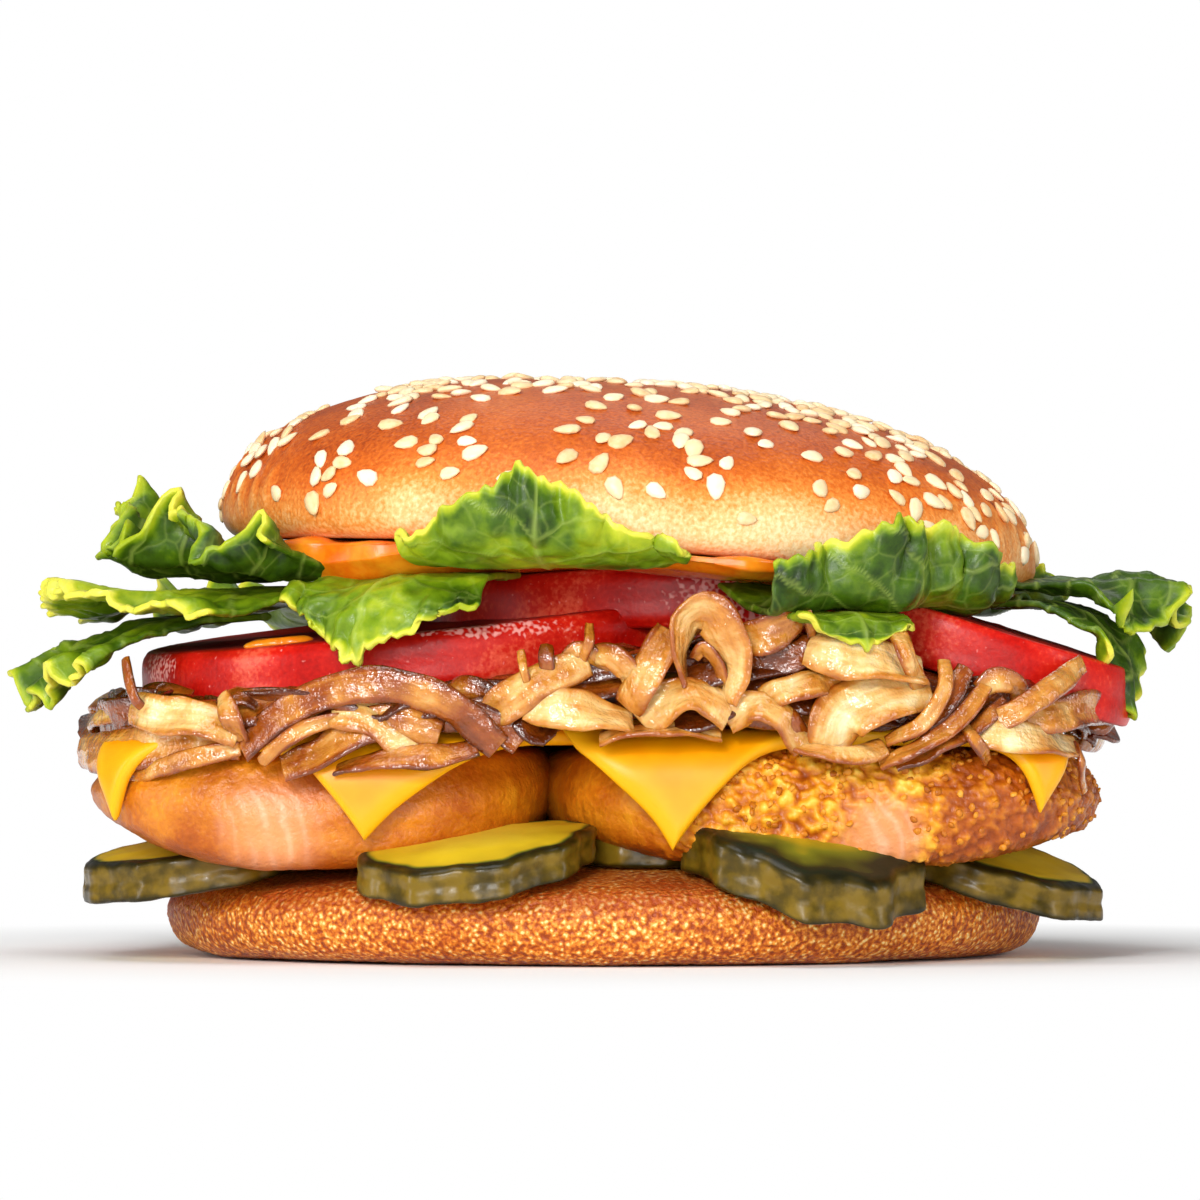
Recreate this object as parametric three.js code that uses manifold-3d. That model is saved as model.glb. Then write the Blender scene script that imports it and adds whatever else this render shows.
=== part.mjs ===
// A fish burger: two breaded salmon fillets side by side in a sesame bun, with pickles, cheese, fried
// onions, tomato, lettuce and a thick orange sauce. Sizes are in millimetres. +X is the burger's right as it
// is looked at, -Y its front and +Z up. The origin is the middle of the flat underside of the bottom bun.
import * as THREE from "three";
import { mergeVertices } from "three/addons/utils/BufferGeometryUtils.js";
import Module from "manifold-3d";

const wasm = await Module();
wasm.setup();

// ---------------------------------------------------------------- driving sizes
const BUN_WIDTH = 125;
const BUN_DEPTH = 120;
const HEEL_HEIGHT = 13.5;
const HEEL_SHOULDER = 4; // how much lower the bottom bun's top is at its rim than in its middle
const CROWN_WIDTH = 117;
const CROWN_DEPTH = 114;
const CROWN_X = 4.3;
const CROWN_FLOOR = 58; // height of the crown's cut underside over the tomato
const CROWN_BELLY = 3.4; // from the cut underside up to where the crown is widest
const CROWN_RISE = 20.9; // from there to the top of the dome
const CROWN_TILT = 0.055; // the crown's fall towards the right
const CROWN_SAG = 1.5; // how much lower its underside is 50 mm from the middle
const DOME_POWER = 2.3;
const PICKLE_THICKNESS = 5.2;
const FILLET_TOP = 29.8;
const CHEESE_THICKNESS = 2.4;
const ONION_TOP = 46.5;
const STRIP_THICKNESS = 1.8;
const TOMATO_THICKNESS = 8.6;
const LEAF_THICKNESS = 1.1;
const LEAF_REACH = 40; // from a leaf's hidden root to its rim
const SAUCE_THICKNESS = 1.5;
const SEED = { count: 88, length: 3.7, width: 2.3, thickness: 1.3, sunk: 0.4 };
const GAP = 0.35; // clearance between pieces that lie on each other

// ---------------------------------------------------------------- numbers that repeat
const TURN = Math.PI * 2;
const GOLDEN_ANGLE = Math.PI * (3 - Math.sqrt(5));

// A repeatable draw between 0 and 1 for the whole number n.
function draw(n) {
  const wave = Math.sin(n * 12.9898 + 4.1414) * 43758.5453;
  return wave - Math.floor(wave);
}

const mix = (a, b, share) => a + (b - a) * share;
const clamp = (value, low, high) => Math.min(high, Math.max(low, value));

function smooth(low, high, value) {
  const share = clamp((value - low) / (high - low), 0, 1);
  return share * share * (3 - 2 * share);
}

// ---------------------------------------------------------------- solids
function geometryFrom(points, faces) {
  const geometry = new THREE.BufferGeometry().setFromPoints(points);
  geometry.setIndex(faces.flat());
  return geometry;
}

// The closed solid of a geometry. Vertices that meet are merged, and triangles that shrank to a line dropped.
function solidFrom(geometry) {
  const bare = geometry.clone();
  bare.deleteAttribute("normal");
  bare.deleteAttribute("uv");
  const merged = mergeVertices(bare, 1e-4);
  const triVerts = [];
  for (let k = 0; k < merged.index.count; k += 3) {
    const [a, b, c] = [0, 1, 2].map((corner) => merged.index.getX(k + corner));
    if (a !== b && b !== c && c !== a) triVerts.push(a, b, c);
  }
  const vertProperties = merged.attributes.position.array;
  const mesh = new wasm.Mesh({ numProp: 3, vertProperties, triVerts: new Uint32Array(triVerts) });
  return new wasm.Manifold(mesh);
}

function geometryOf(solid) {
  const { vertProperties, triVerts } = solid.getMesh();
  const geometry = new THREE.BufferGeometry();
  geometry.setAttribute("position", new THREE.BufferAttribute(new Float32Array(vertProperties), 3));
  geometry.setIndex(new THREE.BufferAttribute(new Uint32Array(triVerts), 1));
  return geometry;
}

// The largest closed body that a cut leaves: loose scraps are dropped.
function largest(solid) {
  const bodies = solid.decompose();
  return bodies.reduce((best, body) => (body.volume() > best.volume() ? body : best));
}

// The solid with its neighbours' swollen shapes cut away.
function clearOf(solid, ...neighbours) {
  return largest(neighbours.reduce((left, neighbour) => left.subtract(neighbour), solid));
}

// A lathed solid with an uneven outline. The rings of its profile are [share of the outline's radius, level]
// from the axis below to the axis above. heightAt(x, y, level) gives the height, and grow swells the solid.
function turnedSolid({ centre, outline, rings, sides, heightAt, grow = 0 }) {
  const section = rings.map(([share, level]) => new THREE.Vector2(share, level));
  const lathe = new THREE.LatheGeometry(section, sides);
  lathe.rotateX(Math.PI / 2);
  const position = lathe.attributes.position;
  for (let k = 0; k < position.count; k++) {
    const [share, level] = rings[k % rings.length];
    const angle = (TURN * (Math.floor(k / rings.length) % sides)) / sides - TURN / 4;
    const radius = share * (outline(angle) + grow);
    const [x, y] = [centre[0] + radius * Math.cos(angle), centre[1] + radius * Math.sin(angle)];
    position.setXYZ(k, x, y, heightAt(x, y, level) + grow * (2 * level - 1));
  }
  return solidFrom(lathe);
}

// A closed thin sheet about the surface pointAt(u, v), u and v from 0 to 1. Both faces have the same
// triangles. margin moves the sheet's edge outwards, as a share of its size.
function sheetSolid({ columns, rows, pointAt, thickness, margin = 0 }) {
  const step = 1e-3;
  const share = (k, count) => k / count + margin * (Number(k === count) - Number(k === 0));
  const points = [];
  for (const side of [1, -1]) {
    for (let i = 0; i <= columns; i++) {
      for (let j = 0; j <= rows; j++) {
        const [u, v] = [share(i, columns), share(j, rows)];
        const along = pointAt(u + step, v).sub(pointAt(u - step, v));
        const across = pointAt(u, v + step).sub(pointAt(u, v - step));
        const normal = along.cross(across).normalize();
        points.push(pointAt(u, v).addScaledVector(normal, (side * thickness) / 2));
      }
    }
  }
  const face = (columns + 1) * (rows + 1);
  const at = (i, j) => i * (rows + 1) + j;
  const faces = [];
  for (let i = 0; i < columns; i++) {
    for (let j = 0; j < rows; j++) {
      const [a, b, c, d] = [at(i, j), at(i + 1, j), at(i + 1, j + 1), at(i, j + 1)];
      faces.push([a, b, c], [a, c, d], [a + face, c + face, b + face], [a + face, d + face, c + face]);
    }
  }
  const rim = [];
  for (let i = 0; i < columns; i++) rim.push(at(i, 0));
  for (let j = 0; j < rows; j++) rim.push(at(columns, j));
  for (let i = columns; i > 0; i--) rim.push(at(i, rows));
  for (let j = rows; j > 0; j--) rim.push(at(0, j));
  rim.forEach((here, k) => {
    const next = rim[(k + 1) % rim.length];
    faces.push([next, here, here + face], [next, here + face, next + face]);
  });
  return solidFrom(geometryFrom(points, faces));
}

// A flat strip swept along a smooth curve through the points, its broad side facing away from the burger's
// axis and tip of the way up.
function stripSolid({ points, tip = 0.3, width, thickness, steps }) {
  const curve = new THREE.CatmullRomCurve3(points.map((p) => new THREE.Vector3(...p)));
  const corners = [];
  for (let k = 0; k <= steps; k++) {
    const share = k / steps;
    const tangent = curve.getTangentAt(share);
    const place = curve.getPointAt(share);
    const facing = new THREE.Vector3(place.x / 2, place.y, 0).setLength(1).setZ(tip);
    const across = facing.cross(tangent).normalize();
    const out = tangent.clone().cross(across);
    const halfWidth = (width / 2) * mix(0.45, 1, Math.sin(Math.PI * clamp(share, 0.08, 0.92)) ** 0.6);
    for (const [w, t] of [[-1, -1], [1, -1], [1, 1], [-1, 1]]) {
      const corner = place.clone().addScaledVector(across, w * halfWidth);
      corners.push(corner.addScaledVector(out, (t * thickness) / 2));
    }
  }
  const faces = [[0, 2, 1], [0, 3, 2]];
  for (let k = 0; k < steps; k++) {
    for (let j = 0; j < 4; j++) {
      const [a, b] = [4 * k + j, 4 * k + ((j + 1) % 4)];
      faces.push([a, b, b + 4], [a, b + 4, a + 4]);
    }
  }
  const end = 4 * steps;
  faces.push([end, end + 1, end + 2], [end, end + 2, end + 3]);
  return solidFrom(geometryFrom(corners, faces));
}

// The radius of a superellipse with half sizes a and b, with an uneven edge where wobble is given.
function superellipse(a, b, power, { wobble = 0, phase = 0, turn = 0 } = {}) {
  return (angle) => {
    const [c, s] = [Math.abs(Math.cos(angle - turn)) / a, Math.abs(Math.sin(angle - turn)) / b];
    const radius = (c ** power + s ** power) ** (-1 / power);
    const ripple = 0.6 * Math.sin(2 * angle + phase) + 0.4 * Math.sin(5 * angle + 2.7 * phase);
    return radius * (1 + wobble * ripple);
  };
}

// ---------------------------------------------------------------- bottom bun
// The bottom bun's top, and past its rim the slope that a drooping slice follows.
function heelTop(x, y, droop = 13) {
  const q = Math.hypot(x / (BUN_WIDTH / 2), y / (BUN_DEPTH / 2));
  const rim = HEEL_HEIGHT - HEEL_SHOULDER;
  return q < 1 ? HEEL_HEIGHT - HEEL_SHOULDER * q ** 5 : rim - droop * (q - 1);
}

function makeHeel() {
  const rings = [[0, 0], [0.89, 0], [0.955, 0.1], [1, 0.5], [0.99, 0.88], [0.95, 1], [0.78, 1], [0, 1]];
  const outline = superellipse(BUN_WIDTH / 2, BUN_DEPTH / 2, 2, { wobble: 0.008, phase: 0.6 });
  return turnedSolid({
    centre: [0.3, 0],
    outline,
    rings,
    sides: 30,
    heightAt: (x, y, level) => level * heelTop(x, y),
  });
}

// ---------------------------------------------------------------- pickles
// Each slice lies on the bottom bun. raised lifts its middle, lift raises it further towards +X, droop is how
// steeply it hangs past the bun's rim.
const PICKLES = [
  { name: "pickle_left", x: -55.5, y: -21, radius: 18, raised: 1, lift: 0, droop: 13, thick: 6 },
  { name: "pickle_front_left", x: -17.5, y: -46, radius: 16.4, raised: 0, lift: 0.05, droop: 20 },
  { name: "pickle_inner", x: 6, y: -30, radius: 11.4, raised: 0, lift: 0, droop: 13 },
  { name: "pickle_front_right", x: 28.5, y: -44.5, radius: 16.4, raised: 0.3, lift: 0, droop: 36, thick: 7 },
  { name: "pickle_right", x: 53.5, y: -21, radius: 17.6, raised: 0.3, lift: 0, droop: 24 },
  { name: "pickle_back_right", x: 36, y: 37, radius: 17.8, raised: 0, lift: 0, droop: 22 },
  { name: "pickle_back", x: -4, y: 44, radius: 17, raised: 0, lift: 0, droop: 18 },
  { name: "pickle_back_left", x: -43, y: 29, radius: 17.6, raised: 0.3, lift: 0, droop: 20 },
];

function makePickle(slice, grow = 0) {
  const { x: cx, y: cy, radius, raised, lift, droop, thick = PICKLE_THICKNESS } = slice;
  const rings = [[0, 0], [0.66, 0], [0.98, 0.02], [1, 0.5], [0.97, 0.98], [0.66, 1], [0, 1]];
  const crinkle = (angle) => radius * (1 + 0.02 * Math.sin(9 * angle + cx));
  const heightAt = (x, y, level) => {
    const rise = raised + lift * Math.max(0, x - cx + radius * 0.6);
    return heelTop(x, y, droop) + GAP + rise + level * thick;
  };
  return turnedSolid({ centre: [cx, cy], outline: crinkle, rings, sides: 12, heightAt, grow });
}

// ---------------------------------------------------------------- salmon fillets
// How much higher the middle of a fillet's underside is than its sagging front and back.
const frontSag = (y) => 1.7 * (1 - Math.abs(y / 49) ** 3);
const FILLET_LEFT = {
  centre: [-39.2, -0.5],
  half: [33.2, 49],
  power: 3.4,
  bottom: (x, y) => {
    const t = (x + 41) / 31.4;
    return 12.3 + frontSag(y) + (t < -0.1 ? 7.2 * ((-0.1 - t) / 0.9) ** 2 : 4.2 * ((t + 0.1) / 1.1) ** 2);
  },
  top: (x) => {
    const t = (x + 41) / 31.4;
    return FILLET_TOP + (t < -0.4 ? -3.4 * ((-0.4 - t) / 0.6) ** 2 : 0.3 * (t + 0.4));
  },
};
const FILLET_RIGHT = {
  centre: [31, -2],
  half: [39.8, 50],
  power: 3.1,
  bottom: (x, y) => 12.6 + frontSag(y) + 4.4 * ((x - 31) / 39.8) ** 2,
  top: (x) => FILLET_TOP - 2.4 * Math.max(0, (x - 56) / 15) ** 2,
};

function makeFillet({ centre, half, power, bottom, top }, { crags, phase, grow = 0 }) {
  const rings = [[0, 0], [0.62, 0], [0.93, 0.04], [1, 0.38], [0.985, 0.74], [0.92, 0.95], [0.62, 1], [0, 1]];
  const rough = (x, y, level) => crags * Math.sin(0.9 * x + phase) * Math.sin(0.8 * y + 3 * level);
  return turnedSolid({
    centre,
    outline: superellipse(...half, power, { wobble: 0.01, phase }),
    rings,
    sides: 26,
    heightAt: (x, y, level) => mix(bottom(x, y), top(x, y), level) + rough(x, y, level),
    grow,
  });
}

// ---------------------------------------------------------------- cheese slices
// Both slices drape over the edge of one rounded outline round the two fillets.
const DRAPE = { centre: [-0.7, -1.2], outline: superellipse(72.2, 50.8, 4.4), roll: 6.5 };
// Corners of the slices as they would lie flat: front, end, back and inner. The edge from the front corner to
// the end one has shrunk inwards by bow as it melted.
const CHEESE_LEFT = { corners: [[-38.8, -62.7], [-75.4, -45.6], [-46, 30], [20, -36]], bow: 8.5 };
const CHEESE_RIGHT = { corners: [[12.7, -66.4], [68.2, -50.4], [56, 28], [-42.5, -15.6]], bow: 11.5 };

function filletTop(x, y) {
  return Math.max(FILLET_LEFT.top(Math.min(x, -10), y), FILLET_RIGHT.top(Math.max(x, -8), y));
}

// The point of the flat slice, u from the front corner to the end one and v towards the inner one.
function sliceAt({ corners, bow }, u, v) {
  const [front, end, back, inner] = corners.map(([x, y]) => new THREE.Vector2(x, y));
  const middle = front.clone().add(end).add(back).add(inner).divideScalar(4);
  const point = front.lerp(end, u).lerp(inner.lerp(back, u), v);
  const inward = middle.sub(point).normalize();
  const shrunk = 1 - (1 - Math.sin(Math.PI * clamp(u, 0, 1))) ** 4;
  return point.addScaledVector(inward, bow * shrunk * (1 - clamp(v, 0, 1)) ** 2);
}

// How far the point lies inside the slice's four corners, less than 0 outside them.
function depthInside({ corners }, x, y) {
  const turning = Math.sign(signedArea(corners));
  return Math.min(...corners.map(([ax, ay], k) => {
    const [bx, by] = corners[(k + 1) % corners.length];
    return (turning * ((bx - ax) * (y - ay) - (by - ay) * (x - ax))) / Math.hypot(bx - ax, by - ay);
  }));
}

function signedArea(corners) {
  return corners.reduce((sum, [ax, ay], k) => {
    const [bx, by] = corners[(k + 1) % corners.length];
    return sum + (ax * by - bx * ay) / 2;
  }, 0);
}

// The height of the cheese's middle surface, where the right slice climbs over the left one.
function cheeseHeight(slice, x, y) {
  const step = slice === CHEESE_RIGHT ? smooth(-5, 0.5, depthInside(CHEESE_LEFT, x, y)) : 0;
  return filletTop(x, y) + GAP + CHEESE_THICKNESS / 2 + step * (CHEESE_THICKNESS + GAP);
}

// The place of a point of the flat slice after it has sagged over the fillets' edge.
function draped(slice, x, y) {
  const [dx, dy] = [x - DRAPE.centre[0], y - DRAPE.centre[1]];
  const [reach, angle] = [Math.hypot(dx, dy), Math.atan2(dy, dx)];
  const edge = DRAPE.outline(angle) + GAP + CHEESE_THICKNESS / 2;
  const past = reach - (edge - DRAPE.roll);
  const bend = clamp(past / DRAPE.roll, 0, Math.PI / 2);
  const hang = Math.max(0, past - (DRAPE.roll * Math.PI) / 2);
  const radius = past <= 0 ? reach : edge - DRAPE.roll + DRAPE.roll * Math.sin(bend);
  const [px, py] = [DRAPE.centre[0] + radius * Math.cos(angle), DRAPE.centre[1] + radius * Math.sin(angle)];
  const drop = DRAPE.roll * (1 - Math.cos(bend)) + hang;
  return new THREE.Vector3(px, py, cheeseHeight(slice, px, py) - drop);
}

function makeCheese(slice, grow = 0) {
  return sheetSolid({
    columns: 7,
    rows: 7,
    thickness: CHEESE_THICKNESS + 2 * grow,
    margin: grow / 60,
    pointAt: (u, v) => {
      const flat = sliceAt(slice, u, v);
      return draped(slice, flat.x, flat.y);
    },
  });
}

// ---------------------------------------------------------------- tomato slices
// rise and lean are the slice's slopes along X and Y, and bow how far its ends sag.
const TOMATOES = {
  left: { centre: [-24.5, -8], radius: 41, middle: 43.6, rise: 0.105, lean: 0.035, bow: 0 },
  middle: { centre: [10, -3], radius: 35.5, middle: 51.2, rise: 0, lean: 0, bow: 0.0022 },
  right: { centre: [53, -19], radius: 22.6, middle: 43.9, rise: -0.31, lean: 0.03, bow: 0 },
};

function makeTomato({ centre, radius, middle, rise, lean, bow }, grow = 0) {
  const rings = [[0, 0], [0.9, 0], [0.975, 0.16], [1, 0.5], [0.975, 0.84], [0.9, 1], [0, 1]];
  const heightAt = (x, y, level) => {
    const [dx, dy] = [x - centre[0], y - centre[1]];
    return middle + rise * dx + lean * dy - bow * dx * dx + (level - 0.5) * TOMATO_THICKNESS;
  };
  const outline = superellipse(radius, radius * 0.98, 2, { wobble: 0.012, phase: centre[0] });
  return turnedSolid({ centre, outline, rings, sides: 24, heightAt, grow });
}

// A scrap of pickle stuck to the front of the middle slice.
function makeScrap(grow = 0) {
  const rings = [[0, 0], [0.7, 0.05], [1, 0.4], [0.8, 0.95], [0, 1]];
  const heightAt = (x, y, level) => mix(50.2, 55.2, level);
  const outline = superellipse(3, 2.2, 2.4);
  return turnedSolid({ centre: [22.8, -36.9], outline, rings, sides: 8, heightAt, grow });
}

// ---------------------------------------------------------------- fried onions
// The strips that show best, in front: [x, y, z] along each, the way its broad side looks, and its width.
const FRONT_STRIPS = [
  { points: [[-67, -24, 41], [-66.5, -29, 35.5], [-58, -40, 34.2], [-51, -46, 35.4]], width: 6.4 },
  { points: [[-75, -16, 30], [-68, -30, 31.5], [-58, -42, 32.5], [-48, -50, 33.5]], width: 5.5 },
  { points: [[-74.5, -18, 29.5], [-69.5, -33, 29], [-62.5, -45.5, 31.2]], width: 5 },
  {
    points: [[-50, -51.5, 29.5], [-44, -54, 33.5], [-36, -55, 37], [-27, -55, 36.5], [-18, -54, 32.5]],
    width: 4.2,
  },
  { points: [[-14, -55, 33.8], [-6, -57, 33.6], [3, -57, 33.4], [9, -55, 34.6]], width: 7 },
  { points: [[-16, -53, 36], [-10, -55.5, 39.5], [-3, -56, 41], [0, -55, 44.5]], width: 4.4 },
  { points: [[1, -54.5, 36], [6, -56, 41], [11, -56, 46], [14, -54.5, 49]], width: 5.2 },
  { points: [[13, -56, 36], [13.5, -57.5, 44], [17, -58, 48], [20, -57, 43], [20, -56, 35.5]], width: 4 },
  { points: [[16, -56, 34.5], [24, -57.5, 37], [30, -57.5, 33.5], [36, -56, 31.5]], width: 5.6 },
  { points: [[28.5, -54.5, 47.5], [30, -57, 41.5], [37, -57.5, 40.5], [44, -55.5, 39]], width: 7.4 },
  { points: [[44, -55.5, 38.5], [37, -58.5, 36.5], [31, -58.5, 32], [26, -57, 29.8]], width: 7.4 },
  { points: [[50, -52, 41], [48, -55, 36], [43, -57, 32.5], [36, -57, 30.5]], width: 3 },
  { points: [[60, -45, 38.5], [53, -52, 35.5], [46, -56, 31.5], [39, -57, 29.5]], width: 3.2 },
  { points: [[70, -23, 40.5], [63, -39, 36.5], [55, -49.5, 35]], width: 5 },
  { points: [[73, -16, 33.8], [69, -31, 35.8], [60, -43, 35.5]], width: 4.6 },
  { points: [[71, -26, 23.5], [69.5, -33, 30.5], [62, -42, 31.2], [54, -49, 32]], width: 5.4 },
];
const LOOSE_STRIPS = 9;

const HEAP = { centre: [0, -1.5], outline: superellipse(70, 53.6, 3.2) };

// The fillets' and the cheese's top, which the heap of onions lies on.
function heapFloor(x, y) {
  const over = smooth(-4, 1, depthInside(CHEESE_LEFT, x, y)) + smooth(-4, 1, depthInside(CHEESE_RIGHT, x, y));
  return filletTop(x, y) + GAP + 0.7 + over * (CHEESE_THICKNESS + GAP);
}

// The height of a tomato slice's underside, or no limit outside the slice.
function tomatoFloor({ centre, radius, middle, rise, lean, bow }, x, y) {
  const [dx, dy] = [x - centre[0], y - centre[1]];
  if (Math.hypot(dx, dy) > radius + 3) return Infinity;
  return middle + rise * dx + lean * dy - bow * dx * dx - TOMATO_THICKNESS / 2;
}

function looseStrip(n) {
  // From the right end round the back to the left end.
  const angle = mix(-0.3, Math.PI + 0.3, (n + draw(n)) / LOOSE_STRIPS);
  const level = mix(33.5, 41, draw(n + 100));
  const half = mix(0.14, 0.25, draw(n + 200));
  const slant = mix(-4, 4, draw(n + 300));
  const points = [-1, 0, 1].map((k) => {
    const radius = HEAP.outline(angle + k * half) * mix(1.04, 0.99, k * k);
    const [x, y] = [radius * Math.cos(angle + k * half), radius * Math.sin(angle + k * half)];
    return [HEAP.centre[0] + x, HEAP.centre[1] + y, level + slant * k - 1.5 * k * k];
  });
  return { points, tip: mix(-0.1, 0.5, draw(n + 400)), width: mix(4, 6.6, draw(n + 500)), steps: 3 };
}

function makeOnions(blockers) {
  const rings = [[0, 0], [0.84, 0], [1, 0.36], [0.97, 0.8], [0.84, 1], [0.45, 1], [0, 1]];
  const limits = Object.values(TOMATOES);
  const heightAt = (x, y, level) => {
    const rim = 36 + 7 * Math.exp(-(((x - 16) / 30) ** 2));
    const top = mix(ONION_TOP, rim, smooth(0.6, 0.9, Math.hypot(x / 70, y / 54)));
    const under = Math.min(top, ...limits.map((slice) => tomatoFloor(slice, x, y) - 2 * GAP));
    const floor = heapFloor(x, y);
    return mix(floor, Math.max(floor + 2.5, under), level);
  };
  const heap = clearOf(turnedSolid({ ...HEAP, rings, sides: 22, heightAt }), ...blockers);
  const loose = Array.from({ length: LOOSE_STRIPS }, (_, n) => looseStrip(n));
  const strips = [...FRONT_STRIPS.map((strip) => ({ ...strip, steps: 4 })), ...loose];
  return strips.reduce((joined, strip) => {
    const solid = stripSolid({ ...strip, thickness: STRIP_THICKNESS });
    return largest(joined.add(clearOf(solid, ...blockers)));
  }, heap);
}

// ---------------------------------------------------------------- lettuce
// Each leaf is a sector round the burger's axis, in degrees, 0 being the right and 270 the front. spine is
// [radius, height] from the hidden root to the rim, and reach how much of it the leaf has across the sector.
const LEAVES = [
  {
    name: "lettuce_left_upper", from: 170, to: 225, waves: 2.9, ripple: 4.4, phase: 0.1,
    spine: [[34, 55], [52, 54.8], [63, 57.4], [71, 62.5]],
    reach: (u) => 0.84 + 0.16 * Math.sin(Math.PI * u),
  },
  {
    name: "lettuce_left_blade", from: 172, to: 222, waves: 1.2, ripple: 1.8, phase: 0.4,
    spine: [[36, 52.6], [56, 51.8], [70, 50.4], [82, 50.6]],
    reach: (u) => 0.8 + 0.2 * Math.sin(Math.PI * u) ** 2,
  },
  {
    name: "lettuce_left_lower", from: 176, to: 206, waves: 1.6, ripple: 2, phase: 0.7,
    spine: [[52, 48.6], [66, 47], [76, 42.6], [83.5, 37.5]],
    reach: (u) => 0.82 + 0.18 * Math.sin(Math.PI * u),
  },
  {
    name: "lettuce_front_left", from: 222, to: 253, waves: 1.4, ripple: 1.3, phase: 0.3,
    spine: [[38, 54.4], [54, 53.4], [60.5, 50.5], [62.5, 44.2]],
    reach: (u) => 0.6 + 0.4 * Math.sin(Math.PI * u),
  },
  {
    name: "lettuce_front", from: 242, to: 282, waves: 1.1, ripple: 1.4, phase: 0.15,
    spine: [[42, 56.2], [58, 56.4], [63.2, 60.2], [63.6, 70]],
    reach: (u) => 0.55 + 0.45 * (1 - Math.abs(2 * u - 0.9)),
  },
  {
    name: "lettuce_right", from: 291, to: 331, waves: 2.6, ripple: 1.7, phase: 0.5,
    spine: [[46, 53], [59, 49.8], [66.5, 51.6], [67.5, 61]],
    reach: (u) => 0.84 + 0.16 * Math.sin(Math.PI * u),
  },
  {
    name: "lettuce_right_flap", from: 294, to: 311, waves: 0.8, ripple: 0.6, phase: 0.2,
    spine: [[61.5, 48.7], [65, 48.6], [67.6, 47.6], [68.6, 45.4]],
    reach: (u) => 0.6 + 0.4 * Math.sin(Math.PI * u),
  },
  {
    name: "lettuce_right_tail", from: 336, to: 352, waves: 1.2, ripple: 1, phase: 0.1,
    spine: [[58, 50.2], [70, 49.6], [76.5, 44], [79, 34.5]],
    reach: (u) => 0.7 + 0.3 * Math.sin(Math.PI * u),
  },
  {
    name: "lettuce_right_shred", from: 340, to: 366, waves: 2, ripple: 2.2, phase: 0.3,
    spine: [[50, 52.8], [66, 53], [76, 52], [85, 47.4]],
    reach: (u) => 0.78 + 0.22 * Math.sin(Math.PI * u),
  },
  {
    name: "lettuce_back_right", from: 14, to: 72, waves: 3.1, ripple: 2.8, phase: 0.8,
    spine: [[47, 51.6], [57, 50.4], [65, 51.4], [72, 56]],
    reach: (u) => 0.84 + 0.16 * Math.sin(Math.PI * u),
  },
  {
    name: "lettuce_back_left", from: 84, to: 158, waves: 3.6, ripple: 3.4, phase: 0.35,
    spine: [[46, 51.6], [57, 50.2], [66, 49.4], [75, 51]],
    reach: (u) => 0.84 + 0.16 * Math.sin(Math.PI * u),
  },
];

function leafPoint(leaf, u, v) {
  const spine = new THREE.CatmullRomCurve3(leaf.spine.map(([r, z]) => new THREE.Vector3(r, 0, z)));
  const share = v * leaf.reach(clamp(u, 0, 1));
  const inside = clamp(share, 0, 1);
  const tangent = spine.getTangent(inside);
  const place = spine.getPoint(inside).addScaledVector(tangent, (share - inside) * LEAF_REACH);
  const wave = Math.sin(TURN * (leaf.waves * u + leaf.phase + 0.18 * v));
  const rise = leaf.ripple * inside ** 1.6 * wave;
  const [radius, height] = [place.x - tangent.z * rise, place.z + tangent.x * rise];
  const angle = THREE.MathUtils.degToRad(mix(leaf.from, leaf.to, u));
  return new THREE.Vector3(radius * Math.cos(angle), radius * Math.sin(angle), height);
}

function makeLeaf(leaf, grow = 0) {
  const columns = clamp(Math.round(leaf.waves * 4), 4, 11);
  const pointAt = (u, v) => leafPoint(leaf, u, v);
  const thickness = LEAF_THICKNESS + 2 * grow;
  return sheetSolid({ columns, rows: 4, pointAt, thickness, margin: grow / LEAF_REACH });
}

// ---------------------------------------------------------------- top bun and sauce
function crownFloor(x) {
  return CROWN_FLOOR - CROWN_TILT * (x - CROWN_X) - CROWN_SAG * ((x + 5) / 50) ** 2;
}

const CROWN_OUTLINE = superellipse(CROWN_WIDTH / 2, CROWN_DEPTH / 2, 2.1, { wobble: 0.006, phase: 1.7 });
const CROWN_HEIGHT = CROWN_BELLY + CROWN_RISE;
const DOME_SIDES = 32;
// From the belly to the top: [share of the radius, level].
const DOME_RINGS = [1, 0.985, 0.93, 0.83, 0.68, 0.48, 0.25, 0].map((share) => {
  const rise = CROWN_RISE * (1 - share ** DOME_POWER) ** (1 / DOME_POWER);
  return [share, (CROWN_BELLY + rise) / CROWN_HEIGHT];
});

function makeDome(grow = 0) {
  return turnedSolid({
    centre: [CROWN_X, 0],
    outline: CROWN_OUTLINE,
    rings: [[0, 0], [0.94, 0], ...DOME_RINGS],
    sides: DOME_SIDES,
    heightAt: (x, y, level) => crownFloor(x) + level * CROWN_HEIGHT,
    grow,
  });
}

// The dome's point at one of the lathe's angles, between two of its rings.
function ribPoint(rib, share) {
  const above = DOME_RINGS.findIndex(([ring]) => ring <= share);
  const [[outer, low], [inner, high]] = [DOME_RINGS[Math.max(0, above - 1)], DOME_RINGS[above]];
  const level = outer === inner ? low : mix(low, high, (outer - share) / (outer - inner));
  const angle = (TURN * rib) / DOME_SIDES - TURN / 4;
  const radius = share * CROWN_OUTLINE(angle);
  const x = CROWN_X + radius * Math.cos(angle);
  return new THREE.Vector3(x, radius * Math.sin(angle), crownFloor(x) + level * CROWN_HEIGHT);
}

// The point of the dome's flat faces at a share of its radius and of a turn from the front.
function domePoint(turn, share) {
  const rib = turn * DOME_SIDES;
  const left = Math.floor(rib);
  return ribPoint(left, share).lerp(ribPoint(left + 1, share), rib - left);
}

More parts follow.
